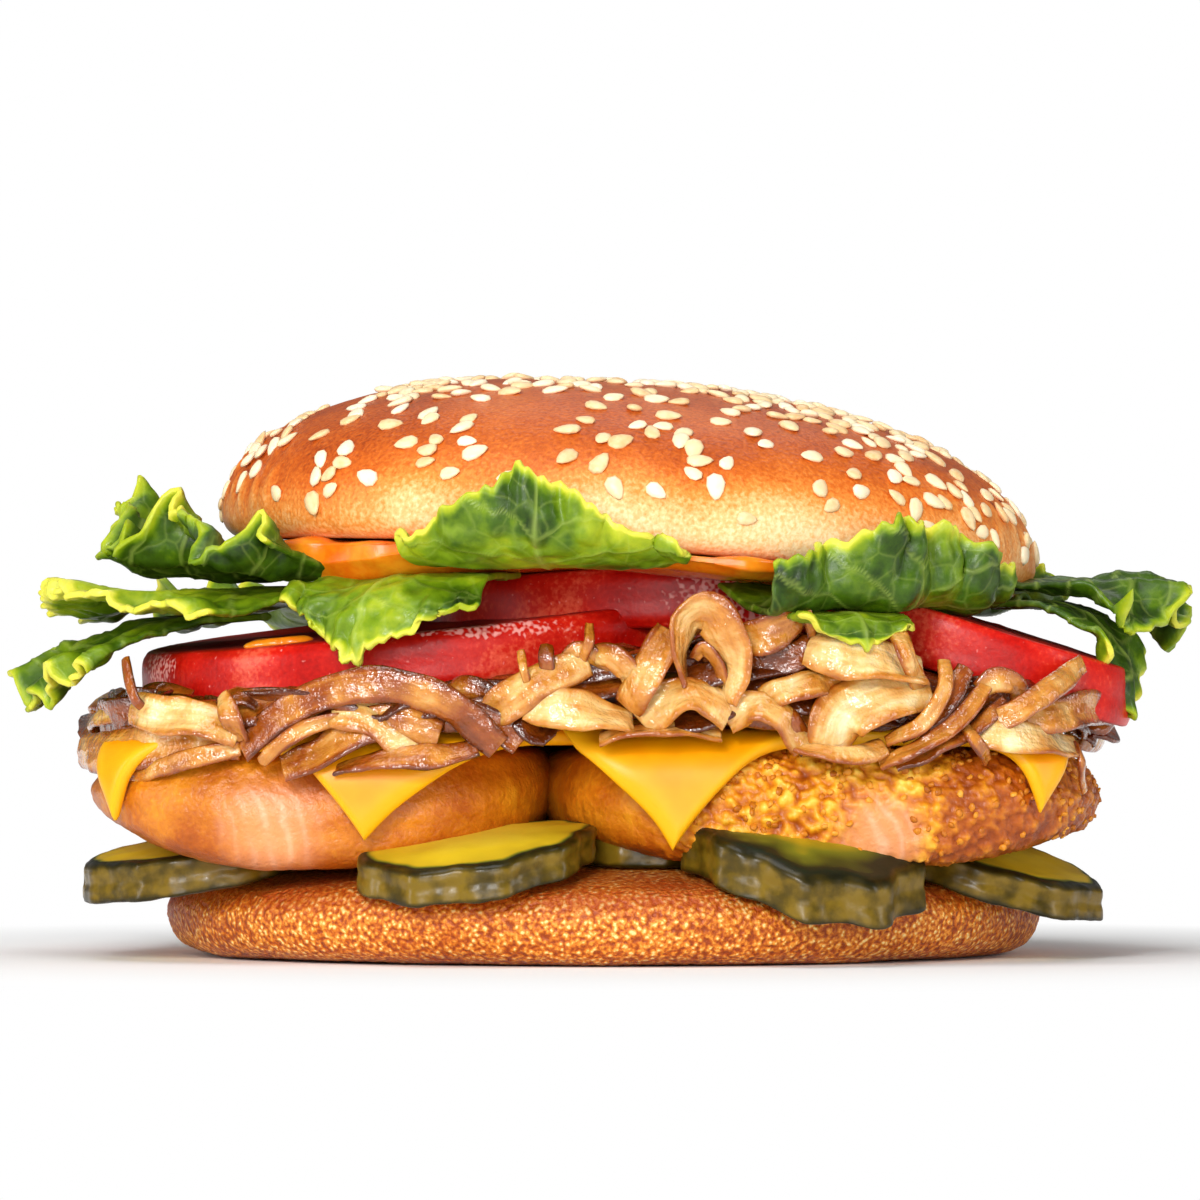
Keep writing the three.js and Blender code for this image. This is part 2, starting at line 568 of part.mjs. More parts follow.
// One sesame seed lying on the dome: a drop with a blunt and a pointed end, sunk a little into the crust.
function makeSeed(n) {
  const turn = (n * GOLDEN_ANGLE + 0.35 * (draw(n) - 0.5)) / TURN;
  const share = 0.955 * Math.sqrt((n + 0.3 + 0.4 * draw(n + 50)) / SEED.count);
  const step = 0.02;
  const outward = domePoint(turn, share + step).sub(domePoint(turn, Math.max(0, share - step))).normalize();
  const round = domePoint(turn + step, share).sub(domePoint(turn - step, share));
  const normal = outward.clone().cross(round).normalize();
  const forward = outward.applyAxisAngle(normal, TURN * draw(n + 150));
  const drop = [[0, -1], [1.05, -0.35], [0.85, 0.35], [0, 1]];
  const seed = new THREE.LatheGeometry(drop.map(([r, along]) => new THREE.Vector2(r, along)), 4);
  seed.scale(SEED.width / 2, SEED.length / 2, SEED.thickness / 2);
  seed.applyMatrix4(new THREE.Matrix4().makeBasis(forward.clone().cross(normal), forward, normal));
  const middle = domePoint(turn, share).addScaledVector(normal, SEED.thickness / 2 - SEED.sunk);
  return solidFrom(seed.translate(middle.x, middle.y, middle.z));
}

function makeCrown() {
  const seeds = Array.from({ length: SEED.count }, (_, n) => makeSeed(n));
  return seeds.reduce((bun, seed) => bun.add(seed), makeDome());
}

function makeSauce(grow = 0) {
  const rings = [[0, 0], [0.84, 0], [1, 0.4], [0.94, 1], [0, 1]];
  const outline = (angle) => 54.2 + 1.3 * Math.sin(5 * angle + 0.4) + 1.1 * Math.sin(9 * angle + 1);
  // The sauce hangs thicker where it shows: left of the front, and a little right of it.
  const blob = (x, y, cx, cy, width) => Math.exp(-(((x - cx) ** 2 + (y - cy) ** 2) / width ** 2));
  const dollop = (x, y) => 4.2 * blob(x, y, -39, -38, 15) + 1.7 * blob(x, y, 18, -52, 14);
  const heightAt = (x, y, level) => {
    const top = crownFloor(x) - GAP;
    return mix(top - SAUCE_THICKNESS - dollop(x, y), top, level);
  };
  return turnedSolid({ centre: [CROWN_X - 1, -1], outline, rings, sides: 26, heightAt, grow });
}

// ---------------------------------------------------------------- the burger
const COLOURS = {
  crust: 0xc8692c,
  pickle: 0x83702a,
  breading: 0xd98a34,
  cheese: 0xffc928,
  onion: 0xd6a468,
  tomato: 0xcf2a1d,
  lettuce: 0x7f9a30,
  sauce: 0xf08a1c,
};

const burger = new THREE.Group();

function serve(name, solid, colour, roughness) {
  const material = new THREE.MeshStandardMaterial({ color: colour, roughness, metalness: 0 });
  const mesh = new THREE.Mesh(geometryOf(solid), material);
  mesh.name = name;
  burger.add(mesh);
}

serve("heel", makeHeel(), COLOURS.crust, 0.7);

const swollenPickles = [];
for (const pickle of PICKLES) {
  serve(pickle.name, clearOf(makePickle(pickle), ...swollenPickles), COLOURS.pickle, 0.3);
  swollenPickles.push(makePickle(pickle, GAP));
}

const swollenFillets = [
  makeFillet(FILLET_RIGHT, { crags: 0.3, phase: 1.9, grow: GAP }),
  makeFillet(FILLET_LEFT, { crags: 0.15, phase: 0.4, grow: GAP }),
];
const rightFillet = clearOf(makeFillet(FILLET_RIGHT, { crags: 0.3, phase: 1.9 }), ...swollenPickles);
const leftFillet = makeFillet(FILLET_LEFT, { crags: 0.15, phase: 0.4 });
serve("salmon_right", rightFillet, COLOURS.breading, 0.6);
serve("salmon_left", clearOf(leftFillet, swollenFillets[0], ...swollenPickles), COLOURS.breading, 0.6);

const leftCheese = clearOf(makeCheese(CHEESE_LEFT), ...swollenFillets, ...swollenPickles);
serve("cheese_left", leftCheese, COLOURS.cheese, 0.4);
const swollenSlice = (slice) => makeCheese(slice).add(makeCheese(slice, GAP));
const swollenCheese = [CHEESE_LEFT, CHEESE_RIGHT].map(swollenSlice);
const cheeseBlockers = [...swollenFillets, swollenCheese[0], ...swollenPickles];
serve("cheese_right", clearOf(makeCheese(CHEESE_RIGHT), ...cheeseBlockers), COLOURS.cheese, 0.4);

const swollenTomatoes = [];
for (const side of ["middle", "left", "right"]) {
  const slice = TOMATOES[side];
  serve(`tomato_${side}`, clearOf(makeTomato(slice), ...swollenTomatoes), COLOURS.tomato, 0.25);
  swollenTomatoes.push(makeTomato(slice, GAP));
}

serve("pickle_scrap", clearOf(makeScrap(), ...swollenTomatoes), COLOURS.pickle, 0.3);

const onions = makeOnions([...swollenFillets, ...swollenCheese, ...swollenTomatoes]);
serve("onions", onions, COLOURS.onion, 0.35);

serve("crown", makeCrown(), COLOURS.crust, 0.5);
serve("sauce", clearOf(makeSauce(), makeScrap(GAP), ...swollenTomatoes), COLOURS.sauce, 0.3);

const seedRoom = SEED.thickness + GAP;
const leafBlockers = [makeDome(seedRoom), makeSauce(GAP), makeScrap(GAP), ...swollenTomatoes, onions];
for (const leaf of LEAVES) {
  serve(leaf.name, clearOf(makeLeaf(leaf), ...leafBlockers), COLOURS.lettuce, 0.45);
  leafBlockers.push(makeLeaf(leaf).add(makeLeaf(leaf, GAP)));
}

export default burger;
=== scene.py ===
"""The looks of a salmon burger: a sesame bun, breaded fillets, pickles, cheese, onions, tomatoes and lettuce.

Sizes are in millimetres until a mesh is made. +X is the burger's right as it is looked at, -Y its front and
+Z up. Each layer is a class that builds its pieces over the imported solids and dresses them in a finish.
"""

import logging
from dataclasses import dataclass, field, replace
from enum import Enum
from typing import Callable, ClassVar

import bpy
import numpy as np
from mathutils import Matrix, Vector


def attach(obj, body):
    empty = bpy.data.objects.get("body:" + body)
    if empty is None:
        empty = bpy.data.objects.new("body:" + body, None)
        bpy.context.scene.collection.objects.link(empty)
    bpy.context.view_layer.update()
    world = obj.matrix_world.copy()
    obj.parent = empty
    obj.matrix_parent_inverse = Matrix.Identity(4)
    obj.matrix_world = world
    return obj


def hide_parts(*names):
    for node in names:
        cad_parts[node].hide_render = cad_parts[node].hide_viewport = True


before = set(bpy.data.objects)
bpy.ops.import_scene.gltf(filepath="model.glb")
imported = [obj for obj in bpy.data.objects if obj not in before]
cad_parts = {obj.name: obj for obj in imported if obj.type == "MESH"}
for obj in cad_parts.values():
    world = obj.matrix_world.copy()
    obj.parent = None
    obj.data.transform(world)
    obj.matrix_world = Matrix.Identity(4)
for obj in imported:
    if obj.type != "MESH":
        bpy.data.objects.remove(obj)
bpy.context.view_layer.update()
log = logging.getLogger("salmon_burger")

MM = 0.001
TURN = 2 * np.pi
GOLDEN = 0.618034  # the share of a turn from one strip to the next, which never lines up
PICTURE = 1200  # pixels along each side of the photograph
WHITE = (1.0, 1.0, 1.0, 1.0)
GAP = 0.35  # millimetres of air between neighbouring pieces
FILLET_TOP = 29.8  # the height of the fillets' tops, where they are flat

Array = np.ndarray
Mesh = bpy.types.Mesh
Tree = bpy.types.NodeTree
Socket = bpy.types.NodeSocket
Pattern = tuple[Socket, Socket]  # a finish's colour and the height of its fine relief


class Slot(Enum):
    """The record's material slots."""

    BOTTOM_BUN = "bottom_bun"
    TOP_BUN = "top_bun"
    PICKLE = "pickle"
    BREADING = "breading"
    CHEESE = "cheese"
    ONION = "onion"
    TOMATO = "tomato"
    LETTUCE = "lettuce"
    SAUCE = "sauce"


# ---------------------------------------------------------------- numbers
def mix(low: Array | float, high: Array | float, share: Array | float) -> Array | float:
    """The value at a share of the way from low to high."""
    return low + (high - low) * share


def smooth(low: float, high: float, value: Array | float) -> Array | float:
    """A soft step from 0 at low to 1 at high."""
    share = np.clip((value - low) / (high - low), 0, 1)
    return share * share * (3 - 2 * share)


def unit(vectors: Array) -> Array:
    """The vectors at length 1."""
    return vectors / np.maximum(np.linalg.norm(vectors, axis=-1, keepdims=True), 1e-9)


def place(x: Array, y: Array, z: Array) -> Array:
    """Points from their coordinates, which may be single numbers."""
    return np.stack(np.broadcast_arrays(x, y, z), -1).astype(float)


def between(draw: np.random.Generator, low: float, high: float, power: float = 1.0) -> float:
    """A random number from low to high, more often low the higher the power."""
    return mix(low, high, draw.random() ** power)


class Grain:
    """Smooth noise in space, the same on every run."""

    CELLS: ClassVar[int] = 32

    def __init__(self, seed: int) -> None:
        """Draws the lattice that the noise is read from."""
        draws = np.random.default_rng(seed).random((4, self.CELLS, self.CELLS, self.CELLS))
        self.lattice = 2 * draws[0] - 1
        self.stones = draws[1:]

    def at(self, points: Array, size: float) -> Array:
        """Noise from -1 to 1 at points in millimetres, in lumps about size across."""
        scaled = points / size
        cell = np.floor(scaled).astype(int)
        part = scaled - cell
        part = part * part * (3 - 2 * part)
        total = np.zeros(points.shape[:-1])
        for corner in np.ndindex(2, 2, 2):
            weight = np.prod(np.where(corner, part, 1 - part), axis=-1)
            total += weight * self.lattice[tuple(np.moveaxis((cell + corner) % self.CELLS, -1, 0))]
        return total

    def layered(self, points: Array, size: float, layers: int = 4) -> Array:
        """Noise with finer noise laid over it, each layer half as coarse and half as strong as the last."""
        return sum(self.at(points + 7.3 * k, size / 2**k) / 2**k for k in range(layers)) / 1.4

    def pebbles(self, points: Array, size: float) -> Array:
        """Rounded bumps packed side by side, size apart: 1 in a bump's middle, falling to 0 between bumps."""
        scaled = points / size
        cell = np.floor(scaled).astype(int)
        nearest = np.full(points.shape[:-1], 9.0)
        for step in np.ndindex(3, 3, 3):
            stone = cell + np.array(step) - 1
            jitter = self.stones[(slice(None), *np.moveaxis(stone % self.CELLS, -1, 0))]
            away = np.linalg.norm(stone + np.moveaxis(jitter, 0, -1) - scaled, axis=-1)
            nearest = np.minimum(nearest, away)
        return np.clip(1 - nearest, 0, 1)


@dataclass(frozen=True)
class Curve:
    """A smooth curve through points."""

    points: tuple[tuple[float, ...], ...]

    def at(self, share: Array) -> Array:
        """The places at shares of the way along, from 0 at the first point to 1 at the last."""
        fixed = np.array(self.points, float)
        count = len(fixed)
        fixed = np.vstack([2 * fixed[0] - fixed[1], fixed, 2 * fixed[-1] - fixed[-2]])
        along = np.clip(share, 0, 1) * (count - 1)
        start = np.minimum(along.astype(int), count - 2)
        t = (along - start)[..., None]
        a, b, c, d = (fixed[start + k] for k in range(4))
        gaps = (b - a, c - b, d - c)
        first, middle, last = (np.linalg.norm(gap, axis=-1, keepdims=True) ** 0.5 for gap in gaps)
        enter = ((b - a) / first - (c - a) / (first + middle) + (c - b) / middle) * middle
        leave = ((c - b) / middle - (d - b) / (middle + last) + (d - c) / last) * middle
        bend = 3 * (c - b) - 2 * enter - leave
        return b + enter * t + bend * t**2 + (2 * (b - c) + enter + leave) * t**3


@dataclass(frozen=True)
class Outline:
    """A rounded outline, an ellipse at power 2 and squarer above it, with an uneven edge."""

    half_width: float
    half_depth: float
    power: float = 2.0
    wobble: float = 0.0
    phase: float = 0.0

    def radius(self, angle: Array) -> Array:
        """The outline's radius in each direction, in radians from +X."""
        across = np.abs(np.cos(angle)) / self.half_width
        along = np.abs(np.sin(angle)) / self.half_depth
        ripple = 0.6 * np.sin(2 * angle + self.phase) + 0.4 * np.sin(5 * angle + 2.7 * self.phase)
        return (across**self.power + along**self.power) ** (-1 / self.power) * (1 + self.wobble * ripple)


def around(centre: tuple[float, float], angle: Array, radius: Array) -> tuple[Array, Array]:
    """The x and y of points at a radius from a centre, in the directions of angle."""
    return centre[0] + radius * np.cos(angle), centre[1] + radius * np.sin(angle)


# ---------------------------------------------------------------- shapes
def normals_of(grid: Array, looped: bool) -> Array:
    """The directions that a grid of points faces. Looped says that its last column meets its first."""
    across = np.roll(grid, -1, axis=1) - np.roll(grid, 1, axis=1) if looped else np.gradient(grid, axis=1)
    return unit(np.cross(across, np.gradient(grid, axis=0)))


@dataclass
class Skin:
    """A closed surface in millimetres, with the values that its finish reads at each point."""

    points: Array
    quads: Array
    triangles: Array
    values: dict[str, Array]

    @classmethod
    def woven(cls, grid: Array, values: dict[str, Array]) -> "Skin":
        """Joins a grid of points into a surface. Points that meet become one, which closes seams and poles.

        Args:
            grid: rows by columns of points.
            values: arrays of one number for each point of the grid.

        Returns:
            The surface, its faces looking outwards.
        """
        flat = grid.reshape(-1, 3)
        _, first, index = np.unique(np.round(flat, 4), axis=0, return_index=True, return_inverse=True)
        index = index.reshape(grid.shape[:2])
        faces = np.stack([index[:-1, :-1], index[1:, :-1], index[1:, 1:], index[:-1, 1:]], -1).reshape(-1, 4)
        doubled = faces == np.roll(faces, -1, axis=1)
        pinched = doubled.sum(1) == 1
        kept = (doubled[pinched].argmax(1)[:, None] + np.array([1, 2, 3])) % 4
        triangles = np.take_along_axis(faces[pinched], kept, 1)
        broad = {name: np.broadcast_to(value, grid.shape[:2]) for name, value in values.items()}
        taken = {name: value.reshape(-1)[first] for name, value in broad.items()}
        return cls(flat[first], faces[doubled.sum(1) == 0], triangles, taken).outward()

    def outward(self) -> "Skin":
        """The surface with its faces turned to look outwards."""
        corners = np.vstack([self.quads[:, :3], self.quads[:, [0, 2, 3]], self.triangles])
        a, b, c = (self.points[corners[:, k]] for k in range(3))
        if np.einsum("ij,ij->i", a, np.cross(b, c)).sum() >= 0:
            return self
        return replace(self, quads=self.quads[:, ::-1], triangles=self.triangles[:, ::-1])

    @classmethod
    def joined(cls, skins: list["Skin"]) -> "Skin":
        """Many surfaces as one."""
        shifted = list(zip(skins, np.cumsum([0] + [len(skin.points) for skin in skins[:-1]])))
        return cls(
            np.vstack([skin.points for skin in skins]),
            np.vstack([skin.quads + shift for skin, shift in shifted]),
            np.vstack([skin.triangles + shift for skin, shift in shifted]),
            {name: np.concatenate([skin.values[name] for skin in skins]) for name in skins[0].values},
        )

    def mesh(self, name: str) -> Mesh:
        """The surface as a smooth mesh in metres, with each value as a point attribute."""
        mesh = bpy.data.meshes.new(name)
        mesh.vertices.add(len(self.points))
        mesh.vertices.foreach_set("co", (self.points * MM).ravel())
        loops = np.concatenate([self.quads.ravel(), self.triangles.ravel()])
        sizes = np.concatenate([np.full(len(self.quads), 4), np.full(len(self.triangles), 3)])
        mesh.loops.add(len(loops))
        mesh.loops.foreach_set("vertex_index", loops.astype(np.int32))
        mesh.polygons.add(len(sizes))
        mesh.polygons.foreach_set("loop_start", (np.cumsum(sizes) - sizes).astype(np.int32))
        mesh.update(calc_edges=True)
        mesh.shade_smooth()
        for name_of_value, value in self.values.items():
            attribute = mesh.attributes.new(name_of_value, "FLOAT", "POINT")
            attribute.data.foreach_set("value", value.astype(np.float32))
        return mesh


@dataclass
class Turned:
    """A body turned about an upright axis, with an uneven outline. Rows run from its underside to its top."""

    centre: tuple[float, float]
    outline: Callable[[Array], Array]
    rows: Array
    sides: int
    height_at: Callable[[Array, Array, Array], Array]
    share: Array = field(init=False)
    level: Array = field(init=False)
    angle: Array = field(init=False)
    grid: Array = field(init=False)

    def __post_init__(self) -> None:
        """Lays out the grid of points."""
        turns = np.linspace(0, TURN, self.sides, endpoint=False)
        self.share, self.angle = np.meshgrid(self.rows[:, 0], turns, indexing="ij")
        self.level = np.broadcast_to(self.rows[:, 1:2], self.share.shape)
        x, y = around(self.centre, self.angle, self.share * self.outline(self.angle))
        self.grid = place(x, y, self.height_at(x, y, self.level))

    def swell(self, amount: Array) -> None:
        """Moves each point outwards by its amount. The poles stay where they are."""
        facing = normals_of(self.grid, looped=True)
        middle = self.grid.mean((0, 1))
        if np.einsum("ijk,ijk->", facing, self.grid - middle) < 0:
            facing = -facing
        still = np.minimum(1, self.share / 0.05)
        self.grid = self.grid + facing * (amount * still)[..., None]

    def skin(self, **values: Array) -> Skin:
        """The closed surface, with the values that its finish reads."""
        closed = np.concatenate([self.grid, self.grid[:, :1]], axis=1)
        broad = {name: np.broadcast_to(value, self.share.shape) for name, value in values.items()}
        return Skin.woven(closed, {name: np.concatenate([v, v[:, :1]], axis=1) for name, v in broad.items()})


def profile(*spans: tuple[float, float, int]) -> Array:
    """Rows of a turned body, rounded through the points of its profile.

    Args:
        spans: [share of the radius, level, rows from here to the next point].

    Returns:
        Rows of [share, level].
    """
    curve = Curve(tuple((share, level) for share, level, _ in spans))
    pieces = len(spans) - 1
    shares = [np.linspace(k / pieces, (k + 1) / pieces, spans[k][2], endpoint=False) for k in range(pieces)]
    rows = curve.at(np.append(np.concatenate(shares), 1.0))
    rows[:, 0] = np.where(rows[:, 0] < 1e-3, 0, rows[:, 0])
    return np.column_stack([np.clip(rows[:, 0], 0, 1.01), np.clip(rows[:, 1], 0, 1)])


def edged(length: float, radius: float, count: int, turns: int = 5) -> tuple[Array, Array]:
    """Steps across a sheet that gather at its two rounded edges.

    Args:
        length: the sheet's size that way, in millimetres.
        radius: of the rounding.
        count: how many steps lie between the roundings.
        turns: how many steps each rounding has.

    Returns:
        The shares of the length, and the share of the full thickness at each.
    """
    arc = np.linspace(0, np.pi / 2, turns, endpoint=False)
    ends = radius / length * (1 - np.cos(arc))
    middle = np.linspace(radius / length, 1 - radius / length, count + 1)
    return np.concatenate([ends, middle, 1 - ends[::-1]]), np.concatenate(
        [np.sin(arc), np.ones(count + 1), np.sin(arc)[::-1]]
    )


def thickened(grid: Array, thickness: Array, values: dict[str, Array]) -> Skin:
    """A closed sheet about a middle surface.

    Args:
        grid: the middle surface's points.
        thickness: millimetres at each point, 0 all along the rim.
        values: one number for each point, the same on both faces.

    Returns:
        The closed surface.
    """
    facing = normals_of(grid, looped=False) * thickness[..., None] / 2
    above, below = grid + facing, grid - facing
    around = np.concatenate([above, below[:, ::-1], above[:, :1]], axis=1)
    spread = {
        name: np.concatenate([value, value[:, ::-1], value[:, :1]], axis=1)
        for name, value in ((n, np.broadcast_to(v, grid.shape[:2])) for n, v in values.items())
    }
    return Skin.woven(around, spread)


# ---------------------------------------------------------------- nodes
def colour(code: str) -> tuple[float, float, float, float]:
    """The linear colour of an sRGB hex code such as c8692c."""
    shades = (int(code[k : k + 2], 16) / 255 for k in (0, 2, 4))
    return (*(s / 12.92 if s <= 0.04045 else ((s + 0.055) / 1.055) ** 2.4 for s in shades), 1.0)


def add(
    tree: Tree,
    kind: str,
    inputs: dict | None = None,
    stops: dict[float, str] | None = None,
    **settings: object,
) -> bpy.types.Node:
    """Adds a node with its settings and links.

    Args:
        tree: the tree that the node goes into.
        kind: the node's type.
        inputs: values, or sockets to link, by the name or number of the node's socket.
        stops: for a colour ramp, hex codes by their place from 0 to 1.
        settings: the node's own properties.

    Returns:
        The node.
    """
    node = tree.nodes.new(kind)
    for name, value in settings.items():
        setattr(node, name, value)
    for name, value in (inputs or {}).items():
        if isinstance(value, Socket):
            tree.links.new(value, node.inputs[name])
        else:
            node.inputs[name].default_value = value
    if stops:
        elements = node.color_ramp.elements
        spots = sorted(stops)
        elements[0].position, elements[-1].position = spots[0], spots[-1]
        for spot in spots[1:-1]:
            elements.new(spot)
        for stop, spot in zip(elements, spots):
            stop.color = colour(stops[spot])
    return node


def pitch(size: float) -> float:
    """The texture scale that repeats about every size millimetres."""
    return 1 / (size * MM)


def where(tree: Tree) -> Socket:
    """The place on the piece, in metres."""
    return add(tree, "ShaderNodeTexCoord").outputs["Object"]


def carried(tree: Tree, name: str) -> Socket:
    """A value that the mesh carries at each point."""
    return add(tree, "ShaderNodeAttribute", attribute_name=name).outputs["Fac"]


def noise(tree: Tree, size: float, detail: float) -> Socket:
    """Noise from 0 to 1 in lumps of size millimetres, with detail finer layers."""
    inputs = {"Vector": where(tree), "Scale": pitch(size), "Detail": detail}
    return add(tree, "ShaderNodeTexNoise", inputs).outputs["Fac"]


def cells(tree: Tree, size: float, feature: str = "F1", at: Socket | None = None) -> Socket:
    """The distance to the middles, or to the edges, of cells size millimetres across."""
    inputs = {"Vector": at or where(tree), "Scale": pitch(size)}
    return add(tree, "ShaderNodeTexVoronoi", inputs, feature=feature).outputs["Distance"]


def blend(tree: Tree, first: Socket, times: float, second: Socket | float) -> Socket:
    """One value times a number, plus another value."""
    return add(tree, "ShaderNodeMath", {0: first, 1: times, 2: second}, operation="MULTIPLY_ADD").outputs[0]


def ranged(tree: Tree, value: Socket, start: float, end: float, low: float = 0, high: float = 1) -> Socket:
    """A value spread from start..end to low..high, and clamped there."""
    inputs = {"Value": value, "From Min": start, "From Max": end, "To Min": low, "To Max": high}
    return add(tree, "ShaderNodeMapRange", inputs).outputs["Result"]


def ramp(tree: Tree, share: Socket, stops: dict[float, str]) -> Socket:
    """The colour at a share of the way along a ramp."""
    return add(tree, "ShaderNodeValToRGB", {"Fac": share}, stops).outputs["Color"]


def mixed(tree: Tree, share: Socket, first: Socket, second: Socket | tuple[float, ...]) -> Socket:
    """The colour at a share of the way from one colour to another."""
    return add(tree, "ShaderNodeMix", {0: share, 6: first, 7: second}, data_type="RGBA").outputs[2]


def vector(tree: Tree, operation: str, *inputs: object) -> Socket:
    """What an operation makes of its inputs, as vectors."""
    return add(tree, "ShaderNodeVectorMath", dict(enumerate(inputs)), operation=operation).outputs[0]


def joined(tree: Tree, x: Socket | float, y: Socket | float, z: Socket | float) -> Socket:
    """Three values as a vector."""
    return add(tree, "ShaderNodeCombineXYZ", {"X": x, "Y": y, "Z": z}).outputs["Vector"]


def drawn(tree: Tree, low: float, high: float, seed: int) -> Socket:
    """A number from low to high, drawn for each grain."""
    return add(tree, "FunctionNodeRandomValue", {2: low, 3: high, "Seed": seed}, data_type="FLOAT").outputs[1]


def emptied(owner: bpy.types.Material | bpy.types.World) -> Tree:
    """The node tree of a material or a world, with nothing in it."""
    owner.use_nodes = True
    owner.node_tree.nodes.clear()
    return owner.node_tree


# ---------------------------------------------------------------- finishes
@dataclass(frozen=True)
class Finish:
    """A real material and how its surface was made. Each kind gives its own pattern of colour and relief.

    scatter is how much of the light goes under the surface, and depth how many millimetres red, green and
    blue travel there. coat is a wet, oily or glazed skin. relief is the height in millimetres of the bumps.
    """

    name: str
    roughness: float
    ior: float = 1.45
    coat: float = 0.0
    coat_roughness: float = 0.1
    scatter: float = 0.0
    depth: tuple[float, float, float] = (1.0, 0.5, 0.25)
    relief: float = 0.2
    bump: float = 0.5

    def pattern(self, tree: Tree) -> Pattern:
        """Adds the nodes of the colour and of the fine relief, and returns their sockets."""
        raise NotImplementedError

    def gloss(self, tree: Tree) -> float | Socket:
        """The roughness, or the socket of a node that varies it."""
        return self.roughness

    def material(self) -> bpy.types.Material:
        """The finish as a material, made once."""
        found = bpy.data.materials.get(self.name)
        if found:
            return found
        material = bpy.data.materials.new(self.name)
        tree = emptied(material)
        tint, height = self.pattern(tree)
        raised = {"Strength": self.bump, "Distance": self.relief * MM, "Height": height}
        facing = add(tree, "ShaderNodeBump", raised).outputs["Normal"]
        surface = {
            "Base Color": tint,
            "Roughness": self.gloss(tree),
            "IOR": self.ior,
            "Subsurface Weight": self.scatter,
            "Subsurface Radius": self.depth,
            "Subsurface Scale": MM,
            "Coat Weight": self.coat,
            "Coat Roughness": self.coat_roughness,
            "Normal": facing,
            "Coat Normal": facing,
        }
        shader = add(tree, "ShaderNodeBsdfPrincipled", surface)
        add(tree, "ShaderNodeOutputMaterial", {"Surface": shader.outputs["BSDF"]})
        return material


@dataclass(frozen=True)
class GlazedCrust(Finish):
    """Brioche crust, egg-glazed and baked: chestnut on top, paler towards the rim, with fine pores. The cut
    face underneath is pale toasted crumb. It reads bake, from 0 at the pale rim to 1 on top, with painted
    shade in the folds at its ends and painted highlight on their crests."""

    def pattern(self, tree: Tree) -> Pattern:
        """Clouds of browning 14 mm across, with pale specks 0.6 mm across that show as a fine grain."""
        pores = noise(tree, 0.6, 2)
        cloudy = blend(tree, noise(tree, 14, 4), 0.26, carried(tree, "bake"))
        browning = blend(tree, blend(tree, pores, 0.6, cloudy), 1, -0.43)
        stops = {0.0: "fbd9a4", 0.16: "f4ba78", 0.36: "e58c3a", 0.58: "d0661a", 0.8: "b14a0a", 1.0: "702604"}
        return ramp(tree, browning, stops), pores


@dataclass(frozen=True)
class CoarseCrust(Finish):
    """The bottom bun's crust, baked on a mat: a sandy grain about a millimetre apart, with painted highlight
    on the grains' tops and painted shade in the pits. It reads bake, from 0 on the pale side to 1 where it is
    scorched or in painted shade."""

    def pattern(self, tree: Tree) -> Pattern:
        """Grains 0.85 mm across, painted bright on their tops and dark in the pits as painted light and
        shade, in clouds 16 mm across.
        """
        # painted highlight and painted shade: the colour follows the grains' height, bright on top and dark
        # in the pits
        rough = blend(tree, cells(tree, 0.85), -0.75, noise(tree, 0.6, 2))
        patchy = blend(tree, noise(tree, 16, 3), 0.3, rough)
        stops = {0.0: "963c06", 0.3: "bc5c10", 0.55: "dc8022", 0.78: "f2a440", 1.0: "ffdc90"}
        grain = ramp(tree, ranged(tree, patchy, 0, 0.6), stops)
        return mixed(tree, carried(tree, "bake"), grain, colour("9c3c10")), rough


@dataclass(frozen=True)
class SesameSeed(Finish):
    """Hulled sesame, toasted by the oven: cream with a waxy shine. It reads tone, which differs by seed."""

    def pattern(self, tree: Tree) -> Pattern:
        """A faint mottling 1 mm across over each seed's own tone."""
        mottle = noise(tree, 1, 2)
        tone = blend(tree, mottle, 0.4, carried(tree, "tone"))
        return ramp(tree, tone, {0.1: "e0b074", 0.35: "f0d2a0", 0.65: "f9e4bd", 0.95: "fff2da"}), mottle


@dataclass(frozen=True)
class PickledCucumber(Finish):
    """A slice of pickled cucumber, wet with brine: a dark warty skin round translucent yellow-green flesh. It
    reads rind, 1 on the skin, and core, from 0 in the middle to 1.5 at the edge between skin and flesh."""

    def gloss(self, tree: Tree) -> float | Socket:
        """Duller on the cut flesh than on the skin."""
        return ranged(tree, carried(tree, "rind"), 0, 1, 0.55, self.roughness)

    def pattern(self, tree: Tree) -> Pattern:
        """Skin softly mottled every 3.5 mm, and flesh with paler seed pockets 3 mm across. Both darken to the
        edge between them."""
        core = carried(tree, "core")
        mottle = noise(tree, 3.5, 4)
        shaded = blend(tree, blend(tree, core, -0.45, mottle), 1, 0.45)
        skin_stops = {0.0: "0a0d03", 0.25: "1c1a04", 0.45: "332a05", 0.62: "4f3f09", 0.8: "755d14"}
        deep = ranged(tree, blend(tree, cells(tree, 3, "SMOOTH_F1"), 0.22, core), 0, 1.6)
        flesh_stops = {0.2: "e6d038", 0.5: "d6b81c", 0.66: "bb9c16", 0.78: "6a6c14", 0.92: "141b06"}
        flesh, skin = ramp(tree, deep, flesh_stops), ramp(tree, shaded, skin_stops)
        return mixed(tree, carried(tree, "rind"), flesh, skin), mottle


